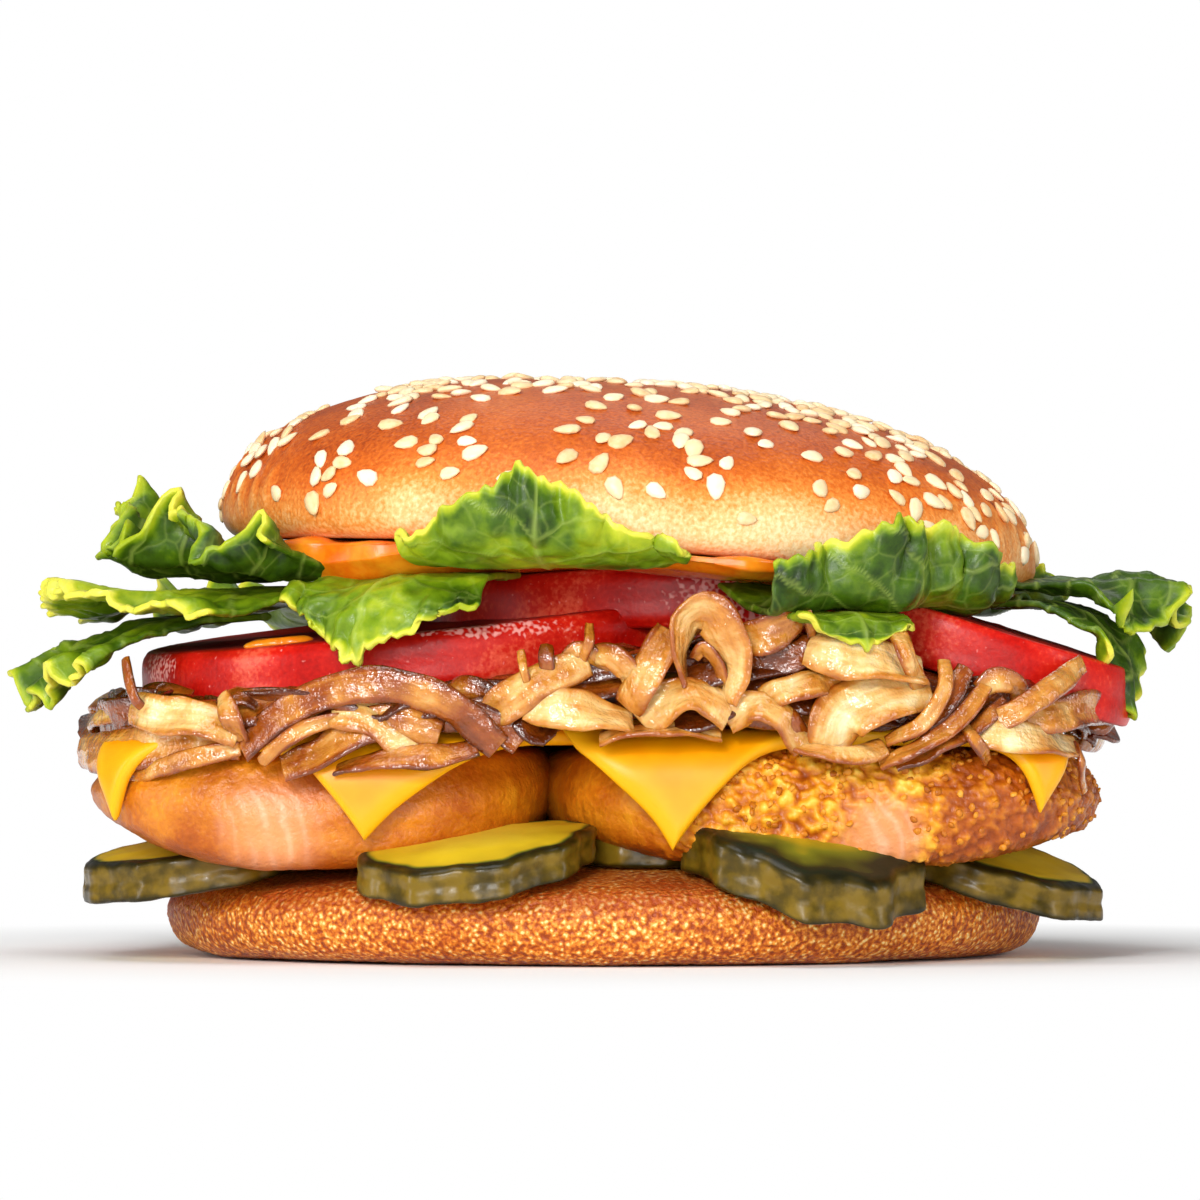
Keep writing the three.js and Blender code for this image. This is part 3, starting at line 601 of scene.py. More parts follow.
@dataclass(frozen=True)
class FriedBreading(Finish):
    """Breadcrumbs fried golden on a salmon fillet, oily, with bare patches of pink flaked flesh. It reads
    crisp, a golden tone painted lighter on the taller crumbs and darker between them and towards the
    underside as painted light and shade, pink, 1 on bare flesh, and flake, the fat lines between its flakes."""

    def pattern(self, tree: Tree) -> Pattern:
        """Golden tones by crisp, which holds painted light and shade on the crumbs and the underside, and in
        clouds 7 mm across, over grain 0.7 mm across.
        """
        fine = noise(tree, 0.7, 3)
        cloudy = blend(tree, noise(tree, 7, 5), 0.8, carried(tree, "crisp"))
        tone = blend(tree, blend(tree, fine, 0.3, cloudy), 1, -0.55)
        golds = {0.0: "8a3a02", 0.25: "ad5406", 0.5: "cf7a10", 0.75: "eca21e", 1.0: "fdc94a"}
        flesh = ramp(tree, carried(tree, "flake"), {0.0: "ea9a60", 0.6: "ee9f6a", 1.0: "f5b184"})
        return mixed(tree, carried(tree, "pink"), ramp(tree, tone, golds), flesh), fine


@dataclass(frozen=True)
class LooseCrumbs(Finish):
    """Single breadcrumbs fried golden to brown. They read tone, which differs by crumb."""

    def pattern(self, tree: Tree) -> Pattern:
        """Each crumb's own gold, mottled every 0.6 mm."""
        mottle = noise(tree, 0.6, 2)
        tone = blend(tree, mottle, 0.5, carried(tree, "tone"))
        return ramp(tree, tone, {0.15: "9c4e0a", 0.4: "c27014", 0.65: "dc8c1e", 0.95: "f0a93a"}), mottle


@dataclass(frozen=True)
class MeltedCheese(Finish):
    """A processed cheese slice softened by the heat: even, waxy and slightly see-through at its edges. It
    reads edge, 1 at the rim."""

    def pattern(self, tree: Tree) -> Pattern:
        """A barely uneven yellow, lighter at the rim, with melt ripples 6 mm across."""
        ripples = noise(tree, 6, 2)
        body = ramp(tree, ripples, {0.3: "ee9400", 0.7: "f4a200"})
        return mixed(tree, carried(tree, "edge"), body, colour("f8b010")), ripples


@dataclass(frozen=True)
class FriedOnion(Finish):
    """Onion fried soft in butter: glossy, see-through and streaked along its fibres, brown at its edges. It
    reads tone, its own by strip and darker with painted shade on the strips hidden behind others, along and
    across, millimetres on the strip, and edge, 1 at its sides."""

    def pattern(self, tree: Tree) -> Pattern:
        """Soft fibres about 1 mm apart that run along the strip, over browning in clouds 5 mm across, and
        wrinkles 1.6 mm across that break up the shine."""
        tone, along, across, edge = (carried(tree, name) for name in ("tone", "along", "across", "edge"))
        run = vector(tree, "MULTIPLY", joined(tree, across, along, tone), (1.1, 0.1, 9.0))
        fibres = add(tree, "ShaderNodeTexNoise", {"Vector": run, "Scale": 1.0, "Detail": 2.0}).outputs["Fac"]
        cloudy = blend(tree, noise(tree, 5, 3), 0.95, blend(tree, fibres, 0.36, tone))
        browning = blend(tree, blend(tree, edge, 0.3, cloudy), 1, -0.56)
        stops = {0.0: "f6e2b0", 0.2: "e6ba72", 0.42: "c8822e", 0.68: "94460c", 1.0: "521e02"}
        return ramp(tree, browning, stops), blend(tree, fibres, 0.3, noise(tree, 1.6, 3))


@dataclass(frozen=True)
class OnionShade(Finish):
    """The fried onions deep in the heap, their brown darkened into painted shade, seen only through the gaps
    between strips.
    """

    def pattern(self, tree: Tree) -> Pattern:
        """Dark browns of painted shade, in shreds 3 mm across."""
        shreds = noise(tree, 3, 4)
        return ramp(tree, shreds, {0.35: "200c06", 0.55: "48200e", 0.75: "7c421c"}), shreds


@dataclass(frozen=True)
class RipeTomato(Finish):
    """A ripe tomato slice, wet: taut red skin with pale specks and a film of droplets painted as a pale pink
    highlight, and softer flesh on the cut faces. It reads skin, 1 on the skin, core, the share of the radius,
    and wet, 1 under the painted highlight of the film."""

    def gloss(self, tree: Tree) -> float | Socket:
        """Duller on the cut faces than on the skin."""
        return ranged(tree, carried(tree, "skin"), 0, 1, 0.8, self.roughness)

    def pattern(self, tree: Tree) -> Pattern:
        """Specks 0.7 mm across on the skin, droplets 0.6 mm across painted as a pale pink highlight where it
        is wet, and seed pockets 7 mm across in the flesh."""
        specks = noise(tree, 0.7, 2)
        speckled = blend(tree, specks, 0.45, noise(tree, 12, 3))
        red = ramp(tree, speckled, {0.5: "a80802", 0.66: "c01006", 0.8: "d02010", 0.95: "e8583c"})
        # painted highlight: the droplets of the wet film painted pale pink
        film = blend(tree, carried(tree, "wet"), 0.4, noise(tree, 0.6, 0))
        misted = mixed(tree, ranged(tree, film, 0.78, 1, 0, 0.75), red, colour("fab4aa"))
        pulp = blend(tree, carried(tree, "core"), 0.4, cells(tree, 7, "SMOOTH_F1"))
        flesh = ramp(tree, pulp, {0.2: "c2481c", 0.5: "b32412", 0.9: "96180c"})
        return mixed(tree, carried(tree, "skin"), flesh, misted), specks


@dataclass(frozen=True)
class LettuceLeaf(Finish):
    """A crisp lettuce leaf: waxy deep green with pale veins, yellow-green towards its frilled rim. It reads
    young, from 0 on dark blades to 1 on pale ones, with painted shade in its folds and painted light on their
    crests, and vein, 1 on the main ribs."""

    def pattern(self, tree: Tree) -> Pattern:
        """A faint net of small veins 6 mm apart, and mottling 2.4 mm across between them."""
        at = where(tree)
        lumps = {"Vector": at, "Scale": pitch(6), "Detail": 2.0}
        wander = add(tree, "ShaderNodeTexNoise", lumps).outputs["Color"]
        bent = vector(tree, "MULTIPLY_ADD", wander, (2.5 * MM,) * 3, at)
        thread = ranged(tree, cells(tree, 6, "DISTANCE_TO_EDGE", bent), 0, 0.05, 0.14, 0)
        veins = {0: carried(tree, "vein"), 1: thread}
        net = add(tree, "ShaderNodeMath", veins, operation="MAXIMUM").outputs[0]
        mottle = noise(tree, 2.4, 4)
        tone = blend(tree, mottle, 0.45, carried(tree, "young"))
        stops = {0.15: "1a3003", 0.34: "3d5c06", 0.52: "708c0c", 0.74: "a8b41a", 0.96: "dcd648"}
        blade = ramp(tree, tone, stops)
        return mixed(tree, net, blade, colour("a9bd55")), blend(tree, net, -0.7, mottle)


@dataclass(frozen=True)
class SpicedSauce(Finish):
    """A thick orange mayonnaise sauce, squeezed on and pressed out: smooth, glossy, slightly see-through."""

    def pattern(self, tree: Tree) -> Pattern:
        """Oranges that drift every 8 mm, with fine spice 0.8 mm across."""
        drift = noise(tree, 8, 3)
        spiced = blend(tree, noise(tree, 0.8, 2), 0.25, drift)
        return ramp(tree, spiced, {0.35: "e04e02", 0.6: "ee7408", 0.85: "f6981c"}), drift


GLAZED_CRUST = GlazedCrust(
    "egg_glazed_brioche_crust", 0.44, ior=1.34, coat=0.05, coat_roughness=0.25, scatter=0.03,
    relief=0.18, bump=0.9,
)
COARSE_CRUST = CoarseCrust(
    "mat_baked_coarse_crust", 0.42, ior=1.36, coat=0.06, coat_roughness=0.25, relief=0.4, bump=0.9
)
SESAME_SEED = SesameSeed("toasted_sesame", 0.36, scatter=0.1, depth=(0.6, 0.4, 0.25), relief=0.05)
PICKLED_CUCUMBER = PickledCucumber(
    "brined_cucumber", 0.3, ior=1.33, coat=0.05, scatter=0.1, depth=(1.2, 1.0, 0.3)
)
FRIED_BREADING = FriedBreading(
    "deep_fried_breadcrumbs", 0.42, ior=1.38, coat=0.15, coat_roughness=0.2, scatter=0.03,
    relief=0.3, bump=0.7,
)
LOOSE_CRUMBS = LooseCrumbs("loose_fried_crumbs", 0.46, ior=1.38, coat=0.1, coat_roughness=0.22, relief=0.1)
MELTED_CHEESE = MeltedCheese(
    "melted_processed_cheese", 0.36, ior=1.34, scatter=0.15, depth=(2.4, 1.4, 0.1), relief=0.3, bump=0.15
)
FRIED_ONION = FriedOnion(
    "butter_fried_onion", 0.24, ior=1.42, coat=0.8, coat_roughness=0.05, scatter=0.22, depth=(1.6, 0.8, 0.2),
    relief=0.7, bump=0.8,
)
# painted shade: the inside of the onion heap, painted dark brown
ONION_SHADE = OnionShade("deep_fried_onion_heap", 0.4, coat=0.2, coat_roughness=0.2, relief=0.6)
RIPE_TOMATO = RipeTomato("ripe_tomato_wet", 0.34, ior=1.33, scatter=0.1, depth=(2.0, 0.3, 0.1), relief=0.1)
LETTUCE_LEAF = LettuceLeaf(
    "crisp_lettuce", 0.42, ior=1.32, coat=0.1, coat_roughness=0.16, scatter=0.06, depth=(0.5, 1.0, 0.2),
    relief=0.45,
)
SPICED_SAUCE = SpicedSauce(
    "orange_mayonnaise_sauce", 0.26, coat=0.4, scatter=0.1, depth=(2.2, 1.0, 0.1), relief=0.4
)


# ---------------------------------------------------------------- pieces
def stand(name: str, data: bpy.types.ID) -> bpy.types.Object:
    """A new object in the scene."""
    thing = bpy.data.objects.new(name, data)
    bpy.context.scene.collection.objects.link(thing)
    return thing


def serve(shape: Skin | Mesh, name: str, finish: Finish, slot: Slot, *nodes: str) -> bpy.types.Object:
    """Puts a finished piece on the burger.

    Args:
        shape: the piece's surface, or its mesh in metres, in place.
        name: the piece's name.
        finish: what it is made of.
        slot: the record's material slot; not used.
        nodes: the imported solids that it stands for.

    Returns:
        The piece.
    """
    mesh = shape.mesh(name) if isinstance(shape, Skin) else shape
    piece = stand(name, mesh)
    mesh.materials.clear()
    mesh.materials.append(finish.material())
    if nodes:
        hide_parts(*nodes)
    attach(piece, "root")
    log.info("%s: %d faces", name, len(mesh.polygons))
    return piece


@dataclass(frozen=True)
class Strewn:
    """Small grains that lie scattered on a surface, made by geometry nodes. Sizes are in millimetres.

    taper makes one end narrower, jag is how craggy a grain is, tilt how far it leans, sunk how deep it sits,
    and crowding the most grains on a square centimetre, where the surface's value sown is 1.
    """

    name: str
    length: float
    width: float
    thickness: float
    spacing: float
    crowding: float
    sunk: float
    taper: float = 0.0
    jag: float = 0.0
    tilt: float = 0.2
    segments: int = 8
    rings: int = 5
    seed: int = 1

    def sizes(self) -> dict[str, float]:
        """The tree's named inputs, in metres."""
        return {
            "Length": self.length * MM,
            "Width": self.width * MM,
            "Thickness": self.thickness * MM,
            "Spacing": self.spacing * MM,
            "Density": self.crowding * 1e4,
            "Lift": (self.thickness / 2 - self.sunk) * MM,
            "Taper": self.taper,
            "Jag": self.jag,
            "Tilt": self.tilt,
        }

    def tree(self, material: bpy.types.Material) -> bpy.types.NodeTree:
        """The node tree that strews grains of a material, with a named input for each size."""
        tree = bpy.data.node_groups.new(self.name, "GeometryNodeTree")
        kinds = {"Ground": "Geometry", **dict.fromkeys(self.sizes(), "Float"), "Seed": "Int"}
        for label, kind in kinds.items():
            tree.interface.new_socket(label, in_out="INPUT", socket_type=f"NodeSocket{kind}")
        tree.interface.new_socket("Grains", in_out="OUTPUT", socket_type="NodeSocketGeometry")
        given = add(tree, "NodeGroupInput").outputs

        ball = {"Segments": self.segments, "Rings": self.rings, "Radius": 1.0}
        at = add(tree, "GeometryNodeInputPosition").outputs["Position"]
        along = add(tree, "ShaderNodeSeparateXYZ", {"Vector": at}).outputs["Y"]
        narrowing = add(tree, "ShaderNodeMath", {0: along, 1: given["Taper"]}, operation="MULTIPLY")
        thinned = {0: 1.0, 1: narrowing.outputs[0]}
        pulled = add(tree, "ShaderNodeMath", thinned, operation="SUBTRACT").outputs[0]
        crags = add(tree, "ShaderNodeTexNoise", {"Vector": at, "Scale": 1.3, "Detail": 1.0}).outputs["Color"]
        craggy = vector(tree, "MULTIPLY", vector(tree, "SUBTRACT", crags, (0.5,) * 3), given["Jag"])
        shaped = vector(tree, "MULTIPLY_ADD", at, joined(tree, pulled, 1.0, pulled), craggy)
        size = joined(tree, given["Width"], given["Length"], given["Thickness"])
        half = vector(tree, "MULTIPLY", vector(tree, "MULTIPLY", shaped, size), (0.5,) * 3)
        raised = vector(tree, "ADD", half, joined(tree, 0.0, 0.0, given["Lift"]))
        moved = {"Geometry": add(tree, "GeometryNodeMeshUVSphere", ball).outputs["Mesh"], "Position": raised}
        grain = add(tree, "GeometryNodeSetPosition", moved).outputs[0]
        rounded = add(tree, "GeometryNodeSetShadeSmooth", {"Geometry": grain}).outputs[0]

        sown = add(tree, "GeometryNodeInputNamedAttribute", {"Name": "sown"}, data_type="FLOAT")
        strewn = {
            "Mesh": given["Ground"],
            "Distance Min": given["Spacing"],
            "Density Max": given["Density"],
            "Density Factor": sown.outputs["Attribute"],
            "Seed": given["Seed"],
        }
        points = add(tree, "GeometryNodeDistributePointsOnFaces", strewn, distribute_method="POISSON").outputs
        most = joined(tree, given["Tilt"], given["Tilt"], TURN)
        turns = {0: vector(tree, "MULTIPLY", most, (-1.0,) * 3), 1: most, "Seed": 3}
        turn = add(tree, "FunctionNodeRandomValue", turns, data_type="FLOAT_VECTOR").outputs[0]
        spin = add(tree, "FunctionNodeEulerToRotation", {"Euler": turn}).outputs["Rotation"]
        turned = {"Rotation": points["Rotation"], "Rotate By": spin}
        facing = add(tree, "FunctionNodeRotateRotation", turned, rotation_space="LOCAL").outputs["Rotation"]
        size = drawn(tree, 0.75, 1.05, 5)
        grown = {"Points": points["Points"], "Instance": rounded, "Rotation": facing, "Scale": size}
        grains = add(tree, "GeometryNodeInstanceOnPoints", grown).outputs["Instances"]
        tone = {"Geometry": grains, "Name": "tone", "Value": drawn(tree, 0.0, 0.6, 7)}
        toned = add(tree, "GeometryNodeStoreNamedAttribute", tone, data_type="FLOAT", domain="INSTANCE")
        real = add(tree, "GeometryNodeRealizeInstances", {"Geometry": toned.outputs[0]}).outputs[0]
        dressed = add(tree, "GeometryNodeSetMaterial", {"Geometry": real, "Material": material})
        add(tree, "NodeGroupOutput", {"Grains": dressed.outputs["Geometry"]})
        return tree

    def over(self, ground: bpy.types.Object, finish: Finish, slot: Slot) -> None:
        """Strews the grains over a piece whose mesh has the value sown, and serves them as one piece."""
        carrier = stand(f"{self.name}_carrier", ground.data)
        modifier = carrier.modifiers.new("strewn", "NODES")
        modifier.node_group = self.tree(finish.material())
        sockets = {item.name: item.identifier for item in modifier.node_group.interface.items_tree}
        for label, size in self.sizes().items():
            modifier[sockets[label]] = size
        modifier[sockets["Seed"]] = self.seed
        mesh = bpy.data.meshes.new_from_object(carrier.evaluated_get(bpy.context.evaluated_depsgraph_get()))
        mesh.name = self.name
        bpy.data.objects.remove(carrier)
        serve(mesh, self.name, finish, slot)


# ---------------------------------------------------------------- bottom bun
@dataclass
class Heel:
    """The bottom bun, with a coarse grain baked into its side."""

    width: float = 125.0
    depth: float = 120.0
    height: float = 13.5
    shoulder: float = 4.0

    def top(self, x: Array, y: Array, droop: float = 13.0) -> Array:
        """The height of its top, and past its rim the slope that a drooping slice follows."""
        out = np.hypot(x / (self.width / 2), y / (self.depth / 2))
        return self.height - self.shoulder * np.where(out < 1, out**5, 1) - droop * np.maximum(0, out - 1)

    def build(self) -> None:
        """Makes the crust with its grain."""
        grain = Grain(11)
        crust = Turned(
            (0.3, 0.0),
            Outline(self.width / 2, self.depth / 2, 2, 0.008, 0.6).radius,
            profile(
                *((0, 0, 5), (0.89, 0, 8), (0.955, 0.1, 20), (1, 0.5, 22)),
                *((0.99, 0.88, 12), (0.95, 1, 12), (0.78, 1, 8), (0, 1, 1)),
            ),
            980,
            lambda x, y, level: level * self.top(x, y),
        )
        wall = smooth(0.8, 0.93, crust.share)
        relief = 0.16 * grain.pebbles(crust.grid, 0.95) + 0.08 * grain.at(crust.grid, 0.8)
        relief = relief + 0.3 * grain.at(crust.grid, 11)
        crust.swell((relief - 0.1) * mix(0.3, 1, wall) * smooth(0.0, 0.04, crust.level + 0.5 * (1 - wall)))
        crust.grid[..., 2] = np.maximum(crust.grid[..., 2], 0)
        patchy = 0.25 * grain.layered(crust.grid, 9)
        # partly real browning, partly painted shade: the darker band on the top shoulder, under the pickles
        shoulder = smooth(0.62, 0.95, crust.level) * smooth(0.6, 0.9, crust.share)
        corner = smooth(-48, -61, crust.grid[..., 0]) * smooth(0.2, 0.6, crust.level)
        sole = smooth(0.12, 0.0, crust.level) * 0.55
        bake = np.clip(0.68 * shoulder + 0.45 * corner + sole + patchy * wall, 0, 0.92)
        serve(crust.skin(bake=bake), "heel_crust", COARSE_CRUST, Slot.BOTTOM_BUN, "heel")


# ---------------------------------------------------------------- pickles
@dataclass(frozen=True)
class Pickle:
    """A slice of pickle that lies on the bottom bun and droops over its rim.

    raised lifts it, lift raises it further towards +X, droop is how steeply it hangs, lobes how deeply its
    edge is scalloped, and dark how far its cut face has turned olive.
    """

    name: str
    x: float
    y: float
    radius: float
    raised: float
    lift: float
    droop: float
    lobes: float = 0.02
    thickness: float = 5.2
    dark: float = 0.0

    def build(self, heel: Heel, grain: Grain) -> None:
        """Makes the slice on the bun, with warts from the noise."""

        def outline(angle: Array) -> Array:
            """Its scalloped edge."""
            return self.radius * (1 + self.lobes * np.sin(9 * angle + self.x) + 0.006 * np.sin(23 * angle))

        def height(x: Array, y: Array, level: Array) -> Array:
            """Its height over the bun, from its underside at level 0 to its top at 1."""
            rise = self.raised + self.lift * np.maximum(0, x - self.x + self.radius * 0.6)
            return heel.top(x, y, self.droop) + GAP + rise + level * self.thickness

        rows = profile(
            (0, 0, 4), (0.66, 0, 6), (0.98, 0.02, 12), (1, 0.5, 12), (0.97, 0.98, 8), (0.66, 1, 8), (0, 1, 1)
        )
        slice_ = Turned((self.x, self.y), outline, rows, 220, height)
        wall = smooth(0.9, 0.98, slice_.share)
        warts = 0.2 * grain.pebbles(slice_.grid, 2.6) + 0.3 * grain.layered(slice_.grid, 4.5, 3) - 0.1
        ripple = 0.25 * grain.at(slice_.grid, 5) * (1 - wall) * smooth(0, 0.3, slice_.share)
        slice_.swell(warts * wall + ripple)
        rind = smooth(0.945, 0.972, slice_.share + 0.012 * grain.at(slice_.grid, 1.6))
        name = f"{self.name}_slice"
        rim = smooth(0.88, 0.96, slice_.share)
        flesh = np.minimum(1, slice_.share) + 0.5 * rim + self.dark
        core = mix(flesh, 0.5 + smooth(0.28, 0.5, np.abs(slice_.level - 0.5)), rind * wall)
        skin = slice_.skin(rind=rind, core=core)
        serve(skin, name, PICKLED_CUCUMBER, Slot.PICKLE, self.name)


@dataclass
class Pickles:
    """The slices round the bottom bun and a scrap stuck to the tomato."""

    heel: Heel
    slices: tuple[Pickle, ...] = (
        Pickle("pickle_left", -55.5, -21, 18, 1, 0, 13, 0.012, 6.0),
        Pickle("pickle_front_left", -17.5, -46, 16.4, 0, 0.05, 20, 0.03),
        Pickle("pickle_inner", 6, -30, 11.4, 0, 0, 13),
        Pickle("pickle_front_right", 28.5, -44.5, 16.4, 0.3, 0, 36, 0.045, 7.0, 0.5),
        Pickle("pickle_right", 53.5, -21, 17.6, 0.3, 0, 24),
        Pickle("pickle_back_right", 36, 37, 17.8, 0, 0, 22, 0.03),
        Pickle("pickle_back", -4, 44, 17, 0, 0, 18, 0.03),
        Pickle("pickle_back_left", -43, 29, 17.6, 0.3, 0, 20),
    )

    def build(self) -> None:
        """Makes the slices and the scrap."""
        grain = Grain(23)
        for pickle in self.slices:
            pickle.build(self.heel, grain)
        rows = profile((0, 0, 5), (0.7, 0.05, 8), (1, 0.4, 8), (0.8, 0.95, 8), (0, 1, 1))
        scrap = Turned(
            (22.8, -36.9), Outline(3, 2.2, 2.4).radius, rows, 60, lambda x, y, level: mix(50.2, 55.2, level)
        )
        scrap.swell(0.3 * grain.at(scrap.grid, 1.8))
        skin = scrap.skin(rind=smooth(0.55, 0.8, scrap.level), core=0.7)
        serve(skin, "pickle_scrap_bit", PICKLED_CUCUMBER, Slot.PICKLE, "pickle_scrap")


# ---------------------------------------------------------------- salmon
@dataclass(frozen=True)
class Spot:
    """An oval place on a wall: [x, z], its half sizes, and whether it is in front."""

    x: float
    z: float
    half_width: float
    half_height: float
    front: bool = True

    def cover(self, points: Array, ragged: Array, rim: float, full: float) -> Array:
        """How covered each point is: 0 from rim times the half sizes outwards, 1 from full inwards."""
        across, up = points[..., 0] - self.x, points[..., 2] - self.z
        out = np.hypot(across / self.half_width, up / self.half_height)
        side = points[..., 1] < 0 if self.front else points[..., 1] > 0
        return np.where(side, smooth(rim, full, out + 0.3 * ragged), 0)


class BarePatch(Spot):
    """A place on a fillet's side where pink flesh shows through the breading."""

    def flakes(self, points: Array, ragged: Array) -> Array:
        """The fat lines between the flakes, upright and 2.4 mm apart, from 0 to 1."""
        across, up = points[..., 0] - self.x, points[..., 2] - self.z
        lines = across + 0.05 * (up + 3) ** 2 + 1.6 * ragged
        return (0.5 + 0.5 * np.cos(TURN * lines / 2.4)) * smooth(1, -0.2, 2 * ragged)


@dataclass(frozen=True)
class Fillet:
    """A breaded fillet. crumbed is how rough its crumbs are at each x, from 0 to 1, and browned
    how much darker it is fried there, or below 0 how much paler it is painted near the seam, painted light
    against the shade there."""

    name: str
    centre: tuple[float, float]
    outline: Outline
    bottom: Callable[[Array, Array], Array]
    top: Callable[[Array], Array]
    crumbed: Callable[[Array], Array]
    browned: Callable[[Array], Array]
    patches: tuple[BarePatch, ...]
    seed: int

    def build(self) -> None:
        """Makes the fillet and strews crumbs on it."""
        grain = Grain(self.seed)
        rows = profile(
            *((0, 0, 5), (0.62, 0, 8), (0.93, 0.04, 16), (1, 0.38, 26)),
            *((0.985, 0.74, 20), (0.92, 0.95, 14), (0.62, 1, 7), (0, 1, 1)),
        )
        body = Turned(
            self.centre,
            self.outline.radius,
            rows,
            980,
            lambda x, y, level: mix(self.bottom(x, y), self.top(x), level),
        )
        ragged = grain.layered(body.grid, 6, 3)
        bare = [patch.cover(body.grid, ragged, 1.25, 0.25) for patch in self.patches]
        pink = np.max(bare, axis=0)
        flakes = [patch.flakes(body.grid, ragged) for patch in self.patches]
        flake = np.choose(np.argmax(bare, axis=0), flakes)
        rough = self.crumbed(body.grid[..., 0]) * (1 - 0.8 * pink)
        lumps = grain.pebbles(body.grid + 0.8 * grain.at(body.grid, 1.4)[..., None], 2.2)
        crumbs = 0.6 * lumps + 0.4 * grain.pebbles(body.grid, 1.1)
        swells = 0.3 * grain.layered(body.grid, 8, 4) + 0.1 * grain.at(body.grid, 1.6)
        body.swell(2.1 * (crumbs - 0.35) * rough + swells - 0.06 * flake * pink)
        # painted shade: darker towards the fillet's underside
        dark = 0.2 * smooth(0.35, 0.0, body.level) + self.browned(body.grid[..., 0])
        # painted light and shade: lighter on the taller crumbs and darker between them
        crisp = np.clip(mix(0.42 + 0.14 * ragged, 1.6 * crumbs - 0.12, rough) - dark, 0, 1)
        sown = smooth(0.3, 0.9, rough) * smooth(0.0, 0.15, body.level) * smooth(0.6, 0.75, body.share)
        skin = body.skin(crisp=crisp, pink=0.85 * pink, flake=flake, sown=sown)
        name = f"{self.name}_fillet"
        fillet = serve(skin, name, FRIED_BREADING, Slot.BREADING, self.name)
        if not sown.any():
            return
        name = f"{self.name}_crumbs"
        loose = Strewn(name, 1.5, 1.1, 0.8, 0.9, 18, 0.4, jag=1.2, tilt=0.9, segments=6, seed=self.seed)
        loose.over(fillet, LOOSE_CRUMBS, Slot.BREADING)


def left_underside(x: Array, y: Array) -> Array:
    """The left fillet's underside, which rises at both ends."""
    t = (x + 41) / 31.4
    ends = np.where(t < -0.1, 7.2 * ((-0.1 - t) / 0.9) ** 2, 4.2 * ((t + 0.1) / 1.1) ** 2)
    return 12.3 + front_sag(y) + ends


def left_top(x: Array) -> Array:
    """The left fillet's top, lower at its outer end."""
    t = (x + 41) / 31.4
    return FILLET_TOP + np.where(t < -0.4, -3.4 * ((-0.4 - t) / 0.6) ** 2, 0.3 * (t + 0.4))


def right_underside(x: Array, y: Array) -> Array:
    """The right fillet's underside."""
    return 12.6 + front_sag(y) + 4.4 * ((x - 31) / 39.8) ** 2


def right_top(x: Array) -> Array:
    """The right fillet's top."""
    return FILLET_TOP - 2.4 * np.maximum(0, (x - 56) / 15) ** 2


def front_sag(y: Array) -> Array:
    """How much higher the middle of a fillet's underside is than its sagging front and back."""
    return 1.7 * (1 - np.abs(y / 49) ** 3)


@dataclass
class Salmon:
    """The two fillets, side by side: the left one smoothly battered, the right one coarsely crumbed."""

    left: Fillet = Fillet(
        "salmon_left",
        (-39.2, -0.5),
        Outline(33.2, 49, 3.4, 0.01, 0.4),
        left_underside,
        left_top,
        lambda x: np.full_like(x, 0.07),
        # painted light: paler towards the seam between the fillets
        lambda x: 0.06 * smooth(-34, -24, x) - 0.1 * smooth(-20, -8, x),
        (BarePatch(-46, 18.6, 7, 7), BarePatch(-30, 19, 9, 7, front=False)),
        31,
    )
    right: Fillet = Fillet(
        "salmon_right",
        (31, -2),
        Outline(39.8, 50, 3.1, 0.01, 1.9),
        right_underside,
        right_top,
        lambda x: mix(0.1, 1, smooth(4, 18, x)) * mix(1, 0.6, smooth(42, 56, x)),
        # painted light: paler towards the seam between the fillets
        lambda x: 0.32 * smooth(42, 54, x) - 0.1 * smooth(6, -6, x),
        (BarePatch(39, 18.2, 6.5, 6), BarePatch(22, 18, 8, 7, front=False)),
        37,
    )

    def build(self) -> None:
        """Makes both fillets."""
        self.left.build()
        self.right.build()

    @staticmethod
    def top(x: Array) -> Array:
        """The height of the fillets' tops, side by side."""
        return np.maximum(left_top(np.minimum(x, -10)), right_top(np.maximum(x, -8)))


# ---------------------------------------------------------------- cheese
@dataclass(frozen=True)
class CheeseSlice:
    """A cheese slice: its corners as it would lie flat, and how far its front edge has shrunk by melting."""

    name: str
    corners: tuple[tuple[float, float], ...]
    bow: float
    climbs: bool = False

    THICKNESS: ClassVar[float] = 2.4

    def flat(self, u: Array, v: Array) -> Array:
        """The flat slice's points, u from the front corner to the end one and v towards the inner one."""
        front, end, back, inner = (np.array(corner) for corner in self.corners)
        u, v = u[..., None], v[..., None]
        points = mix(mix(front, end, u), mix(inner, back, u), v)
        inward = unit((front + end + back + inner) / 4 - points)
        shrunk = 1 - (1 - np.sin(np.pi * np.clip(u, 0, 1))) ** 4
        return points + inward * self.bow * shrunk * (1 - v) ** 2

    def inside(self, x: Array, y: Array) -> Array:
        """How far each point lies inside the slice's corners, less than 0 outside them."""
        ring = [*self.corners, self.corners[0]]
        area = sum(ax * by - bx * ay for (ax, ay), (bx, by) in zip(ring, ring[1:]))
        sides = [
            np.sign(area) * ((bx - ax) * (y - ay) - (by - ay) * (x - ax)) / np.hypot(bx - ax, by - ay)
            for (ax, ay), (bx, by) in zip(ring, ring[1:])
        ]
        return np.min(sides, axis=0)


